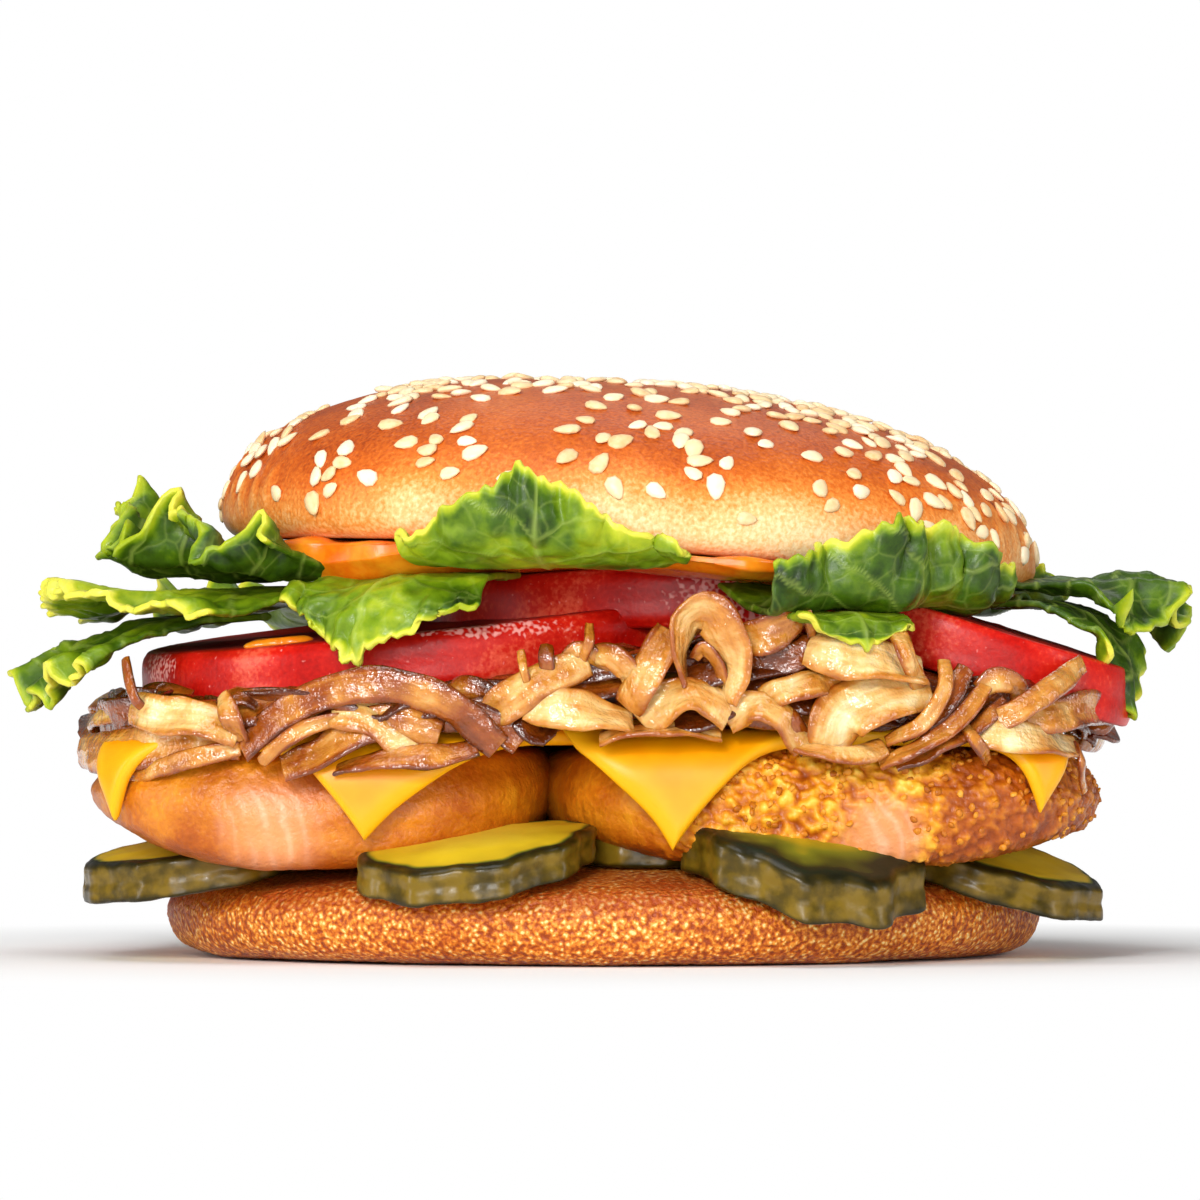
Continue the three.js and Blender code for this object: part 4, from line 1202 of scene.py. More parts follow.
@dataclass
class Cheese:
    """Two slices draped over the fillets' edge. The right one climbs over the left one.

    outline is that edge, about centre, and roll the radius of the bend over it.
    """

    left: CheeseSlice = CheeseSlice(
        "cheese_left", ((-38.8, -62.7), (-75.4, -45.6), (-46, 30), (20, -36)), 8.5
    )
    right: CheeseSlice = CheeseSlice(
        "cheese_right", ((12.7, -66.4), (68.2, -50.4), (56, 28), (-42.5, -15.6)), 11.5, True
    )
    centre: tuple[float, float] = (-0.7, -1.2)
    outline: Outline = Outline(72.2, 50.8, 4.4)
    roll: float = 6.5

    def height(self, slice_: CheeseSlice, x: Array, y: Array) -> Array:
        """The height of a slice's middle surface on the fillets."""
        step = smooth(-5, 0.5, self.left.inside(x, y)) if slice_.climbs else 0
        thickness = CheeseSlice.THICKNESS
        return Salmon.top(x) + GAP + thickness / 2 + step * (thickness + GAP)

    def draped(self, slice_: CheeseSlice, flat: Array) -> Array:
        """Where the points of a flat slice lie after it has sagged over the fillets' edge."""
        dx, dy = flat[..., 0] - self.centre[0], flat[..., 1] - self.centre[1]
        reach, angle = np.hypot(dx, dy), np.arctan2(dy, dx)
        edge = self.outline.radius(angle) + GAP + CheeseSlice.THICKNESS / 2
        past = reach - (edge - self.roll)
        bend = np.clip(past / self.roll, 0, np.pi / 2)
        hang = np.maximum(0, past - self.roll * np.pi / 2)
        radius = np.where(past <= 0, reach, edge - self.roll + self.roll * np.sin(bend))
        x, y = around(self.centre, angle, radius)
        return place(x, y, self.height(slice_, x, y) - self.roll * (1 - np.cos(bend)) - hang)

    def build(self) -> None:
        """Makes both slices."""
        grain = Grain(41)
        for slice_ in (self.left, self.right):
            shares, full = edged(68, CheeseSlice.THICKNESS / 2, 110)
            u, v = np.meshgrid(shares, shares, indexing="ij")
            flat = slice_.flat(u, v)
            waves = 0.35 * grain.at(place(flat[..., 0], flat[..., 1], 0.0), 8)
            sheet = self.draped(slice_, flat + waves[..., None])
            thickness = CheeseSlice.THICKNESS * np.minimum.outer(full, full)
            thickness = thickness * (1 + 0.1 * grain.at(sheet, 9))
            sheet = sheet + 0.18 * grain.at(sheet, 12)[..., None]
            inwards = np.minimum(shares, 1 - shares)
            inner = np.minimum.outer(inwards, inwards)
            skin = thickened(sheet, thickness, {"edge": smooth(0.035, 0.0, inner)})
            name = f"{slice_.name}_slice"
            serve(skin, name, MELTED_CHEESE, Slot.CHEESE, slice_.name)


# ---------------------------------------------------------------- tomatoes
@dataclass(frozen=True)
class TomatoSlice:
    """A tomato slice. rise and lean are its slopes along X and Y, bow how far its ends sag, and
    films the places on its wall where droplets are painted as a pale pink highlight."""

    name: str
    centre: tuple[float, float]
    radius: float
    middle: float
    rise: float = 0.0
    lean: float = 0.0
    bow: float = 0.0
    films: tuple[Spot, ...] = ()

    THICKNESS: ClassVar[float] = 8.6

    def height(self, x: Array, y: Array, level: Array | float) -> Array:
        """The height of the slice at a level from 0, its underside, to 1."""
        dx, dy = x - self.centre[0], y - self.centre[1]
        sloped = self.middle + self.rise * dx + self.lean * dy - self.bow * dx**2
        return sloped + (level - 0.5) * self.THICKNESS

    def build(self, grain: Grain) -> None:
        """Makes the slice, with seed pockets sunk into its cut faces."""
        rows = profile(
            *((0, 0, 14), (0.95, 0, 6), (0.99, 0.1, 12), (1, 0.45, 12)),
            *((0.99, 0.92, 6), (0.96, 1, 14), (0, 1, 1)),
        )
        outline = Outline(self.radius, self.radius * 0.98, 2, 0.012, self.centre[0])
        body = Turned(self.centre, outline.radius, rows, 300, self.height)
        wall = smooth(0.88, 0.98, body.share)
        pockets = smooth(0.2, 0.8, np.abs(np.sin(3 * body.angle + 0.5))) * smooth(0.3, 0.45, body.share)
        pockets = pockets * smooth(0.86, 0.74, body.share)
        flesh = -0.7 * pockets + 0.15 * grain.layered(body.grid, 2.5, 3)
        body.swell(mix(flesh, 0.12 * grain.at(body.grid, 14) + 0.02 * grain.at(body.grid, 1.2), wall))
        skin = smooth(0.93, 0.98, body.share)
        ragged = grain.at(body.grid, 3)
        # wet marks where droplets are painted as a pale pink highlight
        wet = np.max([film.cover(body.grid, ragged, 1.2, 0.5) for film in self.films], axis=0, initial=0)
        name = f"{self.name}_slice"
        sides = body.skin(skin=skin, core=np.minimum(1, body.share), wet=wet * wall)
        serve(sides, name, RIPE_TOMATO, Slot.TOMATO, self.name)


@dataclass
class Tomatoes:
    """Three slices, the side ones leaning on the middle one."""

    slices: tuple[TomatoSlice, ...] = (
        TomatoSlice(
            "tomato_left", (-24.5, -8), 41, 43.6, 0.105, 0.035,
            films=(Spot(-20, 47, 17, 1.5), Spot(-62.5, 41, 2.4, 3.2)),
        ),
        TomatoSlice("tomato_middle", (10, -3), 35.5, 51.2, bow=0.0022, films=(Spot(21, 52.2, 12, 5.5),)),
        TomatoSlice("tomato_right", (53, -19), 22.6, 43.9, -0.31, 0.03),
    )

    def build(self) -> None:
        """Makes the slices."""
        grain = Grain(43)
        for slice_ in self.slices:
            slice_.build(grain)

    def underside(self, x: Array, y: Array) -> Array:
        """The height of the lowest slice over each point, or no limit where there is none."""
        heights = [
            np.where(np.hypot(x - s.centre[0], y - s.centre[1]) > s.radius + 3, np.inf, s.height(x, y, 0.0))
            for s in self.slices
        ]
        return np.min(heights, axis=0)


# ---------------------------------------------------------------- onions
@dataclass(frozen=True)
class Strip:
    """A strip of fried onion that runs through points.

    roll turns its broad side, in degrees, about the way it runs. tip leans it upwards, tone is how brown it
    is from 0 to 1, with painted shade added for strips hidden behind others, and cup how much its
    cross-section is rounded outwards.
    """

    points: tuple[tuple[float, float, float], ...]
    width: float
    roll: float = 0.0
    tone: float = 0.3
    tip: float = 0.3
    cup: float = 0.08
    thickness: float = 0.75

    def skin(self, grain: Grain, along_steps: int, across_steps: int, turns: int) -> Skin:
        """The strip as a closed surface.

        Args:
            grain: the noise that makes it uneven.
            along_steps: steps along it.
            across_steps: steps across it.
            turns: steps round each of its edges.

        Returns:
            The surface, with what its finish reads.
        """
        length = np.linalg.norm(np.diff(np.array(self.points), axis=0), axis=1).sum()
        shares, full_along = edged(length, self.thickness / 2, along_steps, turns)
        sides, full_across = edged(self.width, self.thickness / 2, across_steps, turns)
        line = Curve(self.points).at(shares)
        tangent = unit(np.gradient(line, axis=0))
        facing = unit(place(line[:, 0] / 2, line[:, 1], 0.0))
        facing[:, 2] = self.tip
        across = unit(np.cross(facing, tangent))
        out = np.cross(tangent, across)
        turn = np.radians(self.roll) * np.ones(len(shares)) + 0.25 * np.sin(5 * shares + 9 * self.tone)
        across, out = (
            across * np.cos(turn)[:, None] + out * np.sin(turn)[:, None],
            out * np.cos(turn)[:, None] - across * np.sin(turn)[:, None],
        )
        half = 1.25 * self.width / 2 * mix(0.55, 1, np.sin(np.pi * np.clip(shares, 0.03, 0.97)) ** 0.35)
        half = half * (1 + 0.14 * grain.at(line + 31 * self.tone, 4))
        side = 2 * sides - 1
        spread = half[:, None] * side[None, :]
        curl = self.cup + 0.22 * np.sin(4 * shares + 23 * self.tone)
        hump = (curl * half)[:, None] * (1 - side[None, :] ** 2)
        grid = line[:, None] + across[:, None] * spread[..., None] + out[:, None] * hump[..., None]
        run = place(spread * 1.6, (shares * length)[:, None] * 0.3, 60 * self.tone)
        grid = grid + out[:, None] * (0.2 * grain.at(run, 1.3) + 0.5 * grain.at(grid, 3.0))[..., None]
        thickness = self.thickness * np.minimum.outer(full_along, full_across)
        values = {
            "tone": np.full(grid.shape[:2], self.tone),
            "along": np.broadcast_to((shares * length)[:, None], grid.shape[:2]),
            "across": spread,
            "edge": smooth(0.55, 1, np.abs(side))[None, :] * np.ones((len(shares), 1)),
        }
        return thickened(grid, thickness, values)


# The strips that show best in front: the width, roll and tone of each, and the points that it runs through.
FRONT_STRIPS = tuple(
    Strip(points, width, roll, tone)
    for width, roll, tone, *points in (
        (4.2, 12, 0.5, (-50.1, -50.3, 29.7), (-45.6, -52.7, 34.2), (-38, -55, 38), (-30.6, -56.3, 39.2),
         (-25, -56.7, 38.1), (-20.2, -56.8, 36), (-16.7, -56.4, 32.7), (-14.1, -55.8, 30.4)),
        (1.3, 0, 0.55, (-66.6, -38.5, 42.5), (-65.9, -42.5, 39.1), (-65, -43.5, 36.9), (-63.2, -42.5, 35.2)),
        (5.0, -12, 0.12, (-65.6, -39.9, 35.7), (-61.6, -46.5, 34.9), (-55.9, -50.1, 34.4),
         (-50.3, -50.6, 32.3)),
        (5.3, 14, 0.35, (-73.5, -22.4, 29.3), (-68.8, -35.6, 29.5), (-63.1, -43.4, 30.7),
         (-56.7, -47.9, 31.6), (-50.3, -50, 30.8)),
        (2.4, 20, 0.3, (-66.5, -38.2, 25.8), (-60.9, -45.9, 27.6), (-55.2, -49.6, 29.2),
         (-50.3, -50.3, 30.2)),
        (2.4, 10, 0.3, (-52.8, -49.7, 37.8), (-51.6, -52.8, 34.7), (-49.8, -50.9, 31.1)),
        (1.8, 30, 0.35, (-47.2, -51.7, 28.3), (-44.1, -54.5, 31.1), (-40.6, -55.4, 33.2),
         (-35.5, -54.5, 34.7)),
        (4.2, 0, 0.42, (-44.2, -52, 27.2), (-39, -54.1, 29.7), (-33.4, -55.2, 33.1), (-27.8, -55.6, 33.9),
         (-22.3, -55.3, 32.1)),
        (3.3, -30, 0.5, (-36.9, -54, 27.2), (-30.6, -56.3, 28.6), (-23.6, -56.9, 29.1), (-17, -55.8, 30.3)),
        (5.6, -8, 0.22, (-41.8, -52.3, 35.1), (-36.2, -53.8, 35.9), (-30.1, -54.7, 33.9),
         (-25.1, -54.8, 30.3)),
        (3.6, 10, 0.6, (-22.3, -55.1, 35.9), (-17.4, -55.9, 34.8), (-13.9, -55.9, 33.1),
         (-11.1, -55.4, 30.7)),
        (1.3, 0, 0.45, (-1.4, -56.2, 47.8), (-1.5, -58.3, 45.3), (-2.2, -56.2, 42.8)),
        (4.7, 10, 0.22, (-15.4, -55.7, 34.8), (-12.5, -56.9, 37), (-7.6, -56.9, 39.8), (-1.7, -55.8, 42.3)),
        (1.1, 0, 0.35, (-11, -56.3, 43.7), (-10.6, -58.5, 41.2), (-9.7, -56.3, 38.4)),
        (5.0, -14, 0.05, (-10.2, -56.3, 36.4), (-5.6, -58.3, 35.9), (0, -58.3, 35.2), (4.7, -56.3, 33.9)),
        (1.8, 0, 0.55, (-7.5, -55.9, 44.5), (-7.4, -57.3, 42.3), (-7.1, -55.9, 39.8)),
        (2.2, 40, 0.4, (-4.7, -55.7, 43.1), (-3.3, -56.6, 43.9), (-1.4, -56.6, 43.4), (1.7, -55.7, 41.4)),
        (2.8, 35, 0.28, (-1.1, -55.9, 43.4), (1.7, -57.3, 43.1), (3.9, -57.3, 40.9), (4.5, -55.9, 38.1)),
        (4.7, -10, 0.3, (3.9, -56.1, 35.9), (5.6, -57.9, 39), (7.8, -57.9, 43.1), (10, -56.1, 46.7)),
        (5.2, 58, 0.22, (12, -56.2, 39.2), (11.3, -57.3, 44), (12.5, -58, 48.1), (15, -58.2, 49.1),
         (17.6, -57.9, 46.5), (19.3, -57.1, 42), (18.1, -56, 36.7)),
        (1.8, 40, 0.45, (13.1, -55.6, 42.6), (14.5, -56.5, 44.2), (16.4, -56.4, 42), (17.5, -55.5, 39.2)),
        (5.6, -20, 0.15, (5.6, -56.3, 33.9), (8.9, -58.2, 37), (13.3, -58.2, 37.8), (17.8, -56.1, 34.8)),
        (3.3, -40, 0.35, (0, -55.9, 31.4), (5.6, -57.1, 32.6), (11.1, -57.1, 33.4), (17, -55.7, 32.5)),
        (4.2, -10, 0.2, (17.5, -56, 33.9), (21.1, -57.6, 36.2), (25, -57.4, 34.8), (28.3, -55.4, 30.3)),
        (4.4, 30, 0.4, (19.2, -56, 45.3), (22.9, -57.7, 45.9), (26.4, -57.5, 47.6), (28.4, -55.4, 50.1)),
        (3.4, 10, 0.7, (20.2, -55.1, 41.4), (24.4, -55.3, 42.3), (27.8, -55.1, 43.4), (29.5, -54.4, 45.3)),
        (1.3, 0, 0.35, (28, -55.7, 52.6), (28.6, -58.1, 49.5), (29.5, -55.5, 45.9)),
        (5.8, -12, 0.04, (28.9, -55.5, 44.2), (33.4, -57.1, 43.3), (38.9, -56.3, 42.8), (45.5, -52.5, 41.1)),
        (2.6, 5, 0.28, (41.5, -53.7, 46.2), (42.6, -56.2, 43.3), (44.9, -52.8, 38.4)),
        (3.6, -5, 0.25, (22.3, -55.6, 37), (25.7, -56.8, 38.1), (29.5, -56.4, 39.2), (33.7, -54.5, 39.5)),
        (6.4, -5, 0.12, (31.7, -55.1, 30.3), (33.6, -56.7, 34.8), (38.4, -56, 37.3), (46, -52.2, 38.3)),
        (3.1, -30, 0.2, (27.1, -55.7, 31.1), (30.6, -57.5, 29.8), (34.8, -57, 29.1), (39.6, -54, 30.3)),
        (3.1, -10, 0.55, (24.5, -55.5, 36.1), (26.4, -57.1, 33.7), (28.7, -55.2, 30)),
        (1.9, 15, 0.3, (48, -51.9, 42.5), (47.9, -54.7, 38.4), (44.8, -55.6, 33.6), (39.8, -54.1, 31.1)),
        (2.8, 20, 0.6, (51.1, -50.1, 41.4), (48.8, -52.7, 37.5), (45.4, -53.8, 33.9), (41.8, -53.1, 31.9)),
        (2.2, 25, 0.4, (54.5, -49.1, 39.7), (50.4, -53.6, 34.7), (44.8, -55.4, 30.6), (39, -54.2, 27.8)),
        (1.9, 25, 0.55, (56.8, -47.3, 36.9), (52.5, -51.5, 33), (47.4, -53.4, 30), (41.3, -53.3, 27.5)),
        (2.8, 30, 0.3, (52.8, -49.2, 38.3), (55.3, -49.5, 39.7), (57.9, -48, 39.1), (59.1, -45.5, 36.9)),
        (3.1, -10, 0.25, (53.1, -49.6, 33), (58, -49.4, 35.2), (63, -45.8, 38.3), (67.9, -36.8, 41.9)),
        (4.2, 10, 0.35, (59.4, -45.4, 33.8), (63.8, -43.7, 34.5), (68.3, -38.4, 35.7), (72.9, -22.5, 35)),
        (4.2, -14, 0.06, (52, -50.2, 32.2), (57.3, -50.1, 31.9), (62.3, -46.7, 31.3), (67.3, -37.9, 30.1)),
        (1.1, 0, 0.4, (66.7, -38.6, 30.6), (67.7, -41.4, 28.1), (68.1, -36.6, 23.8)),
        (1.7, 10, 0.35, (50.5, -51, 33.9), (52.4, -53.4, 31.1), (54.2, -49.3, 28.3)),
    )
)


@dataclass
class Onions:
    """A heap of fried onions: long strips laid over a core painted dark as shade, which they hide.

    loose and lying are how many strips lie all round it and on top of it.
    """

    tomatoes: Tomatoes
    cheese: Cheese
    centre: tuple[float, float] = (0.0, -1.5)
    outline: Outline = Outline(70, 53.6, 3.2)
    top: float = 46.5
    loose: int = 104
    lying: int = 90

    # painted shade: the strips hidden behind the placed ones are painted this much darker brown
    SHADED: ClassVar[float] = 0.28  # how much browner the strips behind the placed ones are
    STANDING: ClassVar[float] = 0.42  # the share of the strips round the heap that are short and steep

    def floor(self, x: Array, y: Array) -> Array:
        """The top of the fillets and the cheese, which the heap lies on."""
        covers = [smooth(-4, 1, s.inside(x, y)) for s in (self.cheese.left, self.cheese.right)]
        return Salmon.top(x) + GAP + 0.7 + sum(covers) * (CheeseSlice.THICKNESS + GAP)

    def ceiling(self, x: Array, y: Array) -> Array:
        """The top of the heap, under the tomatoes."""
        rim = 36 + 7 * np.exp(-(((x - 16) / 30) ** 2))
        crest = mix(self.top, rim, smooth(0.6, 0.9, np.hypot(x / 70, y / 54)))
        return np.minimum(crest, self.tomatoes.underside(x, y) - 2 * GAP)

    def core(self, grain: Grain) -> Skin:
        """The inside of the heap, a little smaller than the solid."""
        rows = profile(
            (0, 0, 5), (0.84, 0, 8), (1, 0.36, 10), (0.97, 0.8, 10), (0.84, 1, 8), (0.45, 1, 5), (0, 1, 1)
        )

        def height(x: Array, y: Array, level: Array) -> Array:
            """From the fillets and the cheese at level 0 to the tomatoes at 1."""
            floor = self.floor(x, y)
            seam = 3.2 * np.exp(-(((x + 7.4) / 6) ** 2))
            return mix(floor - seam, np.maximum(floor + 2.5, self.ceiling(x, y) + 0.9), level)

        body = Turned(self.centre, lambda angle: self.outline.radius(angle) - 2.6, rows, 420, height)
        body.swell(0.9 * grain.layered(body.grid, 4.5, 3) * smooth(0.5, 0.8, body.share))
        return body.skin()

    @staticmethod
    def behind(angle: float) -> bool:
        """Whether a strip in this direction is in front, behind the strips that are placed by the picture."""
        return np.sin(angle) < -0.3

    def loose_strip(self, n: int, draw: np.random.Generator) -> Strip:
        """The nth of the strips that lie all round the heap."""
        angle = TURN * (n * GOLDEN % 1)
        standing = draw.random() < self.STANDING
        half = between(draw, 0.04, 0.1) if standing else between(draw, 0.11, 0.26)
        side = draw.choice([-1, 1])
        slant = side * (between(draw, 2.5, 5.5) if standing else between(draw, 0.5, 4.5))
        hidden = self.behind(angle)
        proud = between(draw, -1.4, 1.6) - (1.6 if hidden else 0)
        bulge = between(draw, 0.4, 2.2)
        arch = between(draw, -1, 2.2)
        steps = np.linspace(-1, 1, 5)
        turns = angle + steps * half
        radius = self.outline.radius(turns) + proud + bulge * (1 - steps**2) - 1.6 * np.abs(steps) ** 3
        x, y = around(self.centre, turns, radius)
        inside = (0.97 * x, 0.97 * y)
        low = self.floor(*inside) + 1.0
        high = np.maximum(low + 1.5, np.minimum(self.ceiling(*inside), 43) - 0.6)
        level = low[2] + (high[2] - low[2]) * draw.random()
        z = np.clip(level + slant * steps + arch * (1 - steps**2), low, high + 1.0)
        return Strip(
            tuple(zip(x, y, z)),
            width=between(draw, 2.2, 6.2, 1.2),
            roll=between(draw, -48, 48),
            tone=between(draw, 0.15, 0.72) + (self.SHADED if hidden else 0),
            tip=between(draw, -0.1, 0.7),
            cup=between(draw, -0.05, 0.2),
            thickness=between(draw, 0.6, 0.9),
        )

    def lying_strip(self, n: int, draw: np.random.Generator) -> Strip:
        """The nth of the strips that lie on top of the heap, where it shows past the tomatoes."""
        angle = TURN * (n * GOLDEN % 1)
        share = between(draw, 0.62, 0.93, 0.7)
        heading = angle + np.pi / 2 + between(draw, -0.9, 0.9)
        steps = np.linspace(-1, 1, 5)
        half = between(draw, 5, 11)
        aside = between(draw, -2.5, 2.5) * (1 - steps**2)
        x, y = around(self.centre, angle, share * self.outline.radius(angle))
        x = x + half * steps * np.cos(heading) - aside * np.sin(heading)
        y = y + half * steps * np.sin(heading) + aside * np.cos(heading)
        z = self.ceiling(x, y) + between(draw, 0.5, 1.1) - 1.2 * steps**2
        return Strip(
            tuple(zip(x, y, np.minimum(z, self.tomatoes.underside(x, y) - 1.0))),
            width=between(draw, 3, 6.5),
            roll=between(draw, -20, 20),
            tone=between(draw, 0.15, 0.6) + (self.SHADED if self.behind(angle) else 0),
            tip=9.0,
            cup=between(draw, 0, 0.25),
            thickness=between(draw, 0.6, 0.9),
        )

    def build(self) -> None:
        """Makes the core and the strips."""
        grain = Grain(53)
        draw = np.random.default_rng(59)
        serve(self.core(grain), "onion_core", ONION_SHADE, Slot.ONION, "onions")
        front = Skin.joined([strip.skin(grain, 30, 8, 4) for strip in FRONT_STRIPS])
        serve(front, "onion_front_strips", FRIED_ONION, Slot.ONION, "onions")
        strips = [self.loose_strip(n, draw) for n in range(self.loose)]
        strips += [self.lying_strip(n, draw) for n in range(self.lying)]
        loose = Skin.joined([strip.skin(grain, 14, 4, 3) for strip in strips])
        serve(loose, "onion_loose_strips", FRIED_ONION, Slot.ONION, "onions")


# ---------------------------------------------------------------- lettuce
@dataclass(frozen=True)
class Leaf:
    """A lettuce leaf, a sector round the burger's axis from start to stop, in degrees, 0 being the right.

    spine is [radius, height] from its hidden root to its rim, and reach how far along it the leaf goes at
    each share of the way round. waves, ripple and phase shape its folds, young is how pale it is, frill how
    many millimetres its rim ruffles, and ribs the gap between its side ribs.
    """

    name: str
    start: float
    stop: float
    waves: float
    ripple: float
    phase: float
    spine: tuple[tuple[float, float], ...]
    reach: Callable[[Array], Array]
    young: float = 0.25
    frill: float = 1.0
    ribs: float = 7.0

    REACH: ClassVar[float] = 40.0  # about how long a leaf is from its root to its rim
    RADIUS: ClassVar[float] = 66.0  # where its length round the burger is measured
    THICKNESS: ClassVar[float] = 0.9

    @property
    def arc(self) -> float:
        """Its length round the burger."""
        return np.radians(self.stop - self.start) * self.RADIUS

    def wave(self, u: Array, v: Array) -> Array:
        """Its broad folds, from -1 to 1."""
        return np.sin(TURN * (self.waves * u + self.phase + 0.18 * v))

    def surface(self, u: Array, v: Array, grain: Grain) -> Array:
        """The points of the leaf's middle surface.

        Args:
            u: from 0 to 1 round the burger.
            v: from 0 at the root to 1 at the rim.
            grain: the noise that roughens it.

        Returns:
            The points.
        """
        jitter = 0.6 * grain.at(place(u * self.arc, 0.0, 9.0), 5)
        teeth = 1 - 2 * np.abs(((u * self.arc / 2.3 + jitter) % 1) - 0.5)
        torn = 0.05 * grain.layered(place(u * self.arc, 0.0, self.start), 6, 3)
        share = v * self.reach(u) * (1 + 0.35 * torn + (0.035 * teeth + torn - 0.02) * smooth(0.55, 1, v))
        inside = np.clip(share, 0, 1)
        curve = Curve(self.spine)
        spot = curve.at(inside)
        tangent = unit(curve.at(np.minimum(inside + 1e-3, 1)) - curve.at(np.minimum(inside, 1 - 1e-3)))
        spot = spot + tangent * ((share - inside) * self.REACH)[..., None]
        rise = self.ripple * inside**1.6 * self.wave(u, v)
        loose = smooth(0.45, 1, v)
        drift = grain.at(place(u * self.arc, v * 30, self.stop), 9)
        rise = rise + 1.25 * self.frill * loose * np.sin(TURN * (self.arc / 8.5 * u + 0.5 * drift + 0.25 * v))
        rise = rise + 0.65 * self.frill * loose**2 * np.sin(TURN * (self.arc / 4.2 * u + drift))
        radius = spot[..., 0] - tangent[..., 1] * rise
        height = spot[..., 1] + tangent[..., 0] * rise
        angle = np.radians(mix(self.start, self.stop, u))
        return place(radius * np.cos(angle), radius * np.sin(angle), height)

    def ribbing(self, u: Array, v: Array) -> Array:
        """How much of a rib is at each point, from 0 to 1: one midrib, and side ribs that fan from it."""
        aside = np.abs(u - 0.5) * self.arc
        midrib = smooth(mix(1.1, 0.4, v), 0.1, aside)
        fan = (aside * 0.75 - v * 26) / self.ribs
        from_rib = np.abs(fan - np.round(fan)) * self.ribs
        return np.maximum(midrib, 0.8 * smooth(mix(0.6, 0.4, v), 0.05, from_rib))

    def build(self, grain: Grain) -> None:
        """Makes the leaf."""
        shares_u, full_u = edged(self.arc, self.THICKNESS / 2, int(np.clip(self.arc / 0.45, 60, 180)))
        shares_v, full_v = edged(self.REACH, self.THICKNESS / 2, 70)
        u, v = np.meshgrid(shares_u, shares_v, indexing="ij")
        sheet = self.surface(u, v, grain)
        rib = self.ribbing(u, v)
        crumple = (0.9 * grain.layered(sheet, 6, 3) + 0.35 * grain.at(sheet, 2.2)) * smooth(0.1, 0.5, v)
        sheet = sheet + normals_of(sheet, looped=False) * crumple[..., None]
        # painted light and shade: the broad folds paler on their crests and darker in their troughs
        pale = self.young - 0.08 + 0.5 * smooth(0.93, 1, v) + 0.16 * self.wave(u, v) * smooth(0.4, 1, v)
        pale = pale + 0.08 * smooth(0.5, 0.1, v)
        # painted light and shade: paler where the crumples bulge out
        pale = np.clip(pale + 0.2 * crumple + 0.14 * grain.layered(sheet, 9, 3), 0, 0.78)
        thickness = self.THICKNESS * np.minimum.outer(full_u, full_v) * (1 + 0.5 * rib)
        name = f"{self.name}_leaf"
        skin = thickened(sheet, thickness, {"young": pale, "vein": 0.42 * rib})
        serve(skin, name, LETTUCE_LEAF, Slot.LETTUCE, self.name)


def swell_reach(low: float, power: float = 1.0) -> Callable[[Array], Array]:
    """A leaf's reach that is low at its sides and 1 in its middle."""
    return lambda u: low + (1 - low) * np.sin(np.pi * np.clip(u, 0, 1)) ** power


@dataclass
class Lettuce:
    """The leaves that stand out all round, over and under the tomatoes."""

    leaves: tuple[Leaf, ...] = (
        Leaf(
            "lettuce_left_upper", 170, 225, 2.9, 4.4, 0.1, ((34, 55), (52, 54.8), (63, 57.4), (71, 62.5)),
            swell_reach(0.84), 0.1, 1.9,
        ),
        Leaf(
            "lettuce_left_blade", 172, 222, 1.2, 1.8, 0.4, ((36, 52.6), (56, 51.8), (70, 50.4), (82, 50.6)),
            swell_reach(0.8, 2), 0.42, 0.7, 9,
        ),
        Leaf(
            "lettuce_left_lower", 176, 206, 1.6, 2, 0.7, ((52, 48.6), (66, 47), (76, 42.6), (83.5, 37.5)),
            swell_reach(0.82), 0.2, 1.2, 6,
        ),
        Leaf(
            "lettuce_front_left", 222, 253, 1.4, 1.3, 0.3,
            ((38, 54.4), (54, 53.4), (60.5, 50.5), (62.5, 44.2)), swell_reach(0.6), 0.36, 0.5, 8,
        ),
        Leaf(
            "lettuce_front", 242, 282, 1.1, 1.4, 0.15, ((42, 56.2), (58, 56.4), (63.2, 60.2), (63.6, 70)),
            lambda u: 0.55 + 0.45 * (1 - np.abs(2 * u - 0.9)), 0.34, 0.5, 9,
        ),
        Leaf(
            "lettuce_right", 291, 331, 2.6, 1.7, 0.5, ((46, 53), (59, 49.8), (66.5, 51.6), (67.5, 61)),
            swell_reach(0.84), 0.18, 0.8, 7,
        ),
        Leaf(
            "lettuce_right_flap", 294, 311, 0.8, 0.6, 0.2,
            ((61.5, 48.7), (65, 48.6), (67.6, 47.6), (68.6, 45.4)), swell_reach(0.6), 0.4, 0.4,
        ),
        Leaf(
            "lettuce_right_tail", 336, 352, 1.2, 1, 0.1, ((58, 50.2), (70, 49.6), (76.5, 44), (79, 34.5)),
            swell_reach(0.7), 0.12, 1.0, 5,
        ),
        Leaf(
            "lettuce_right_shred", 340, 366, 2, 2.2, 0.3, ((50, 52.8), (66, 53), (76, 52), (85, 47.4)),
            swell_reach(0.78), 0.1, 1.8, 5,
        ),
        Leaf(
            "lettuce_back_right", 14, 72, 3.1, 2.8, 0.8, ((47, 51.6), (57, 50.4), (65, 51.4), (72, 56)),
            swell_reach(0.84), 0.2, 1.4,
        ),
        Leaf(
            "lettuce_back_left", 84, 158, 3.6, 3.4, 0.35, ((46, 51.6), (57, 50.2), (66, 49.4), (75, 51)),
            swell_reach(0.84), 0.3, 1.4,
        ),
    )

    def build(self) -> None:
        """Makes the leaves."""
        grain = Grain(61)
        for leaf in self.leaves:
            leaf.build(grain)


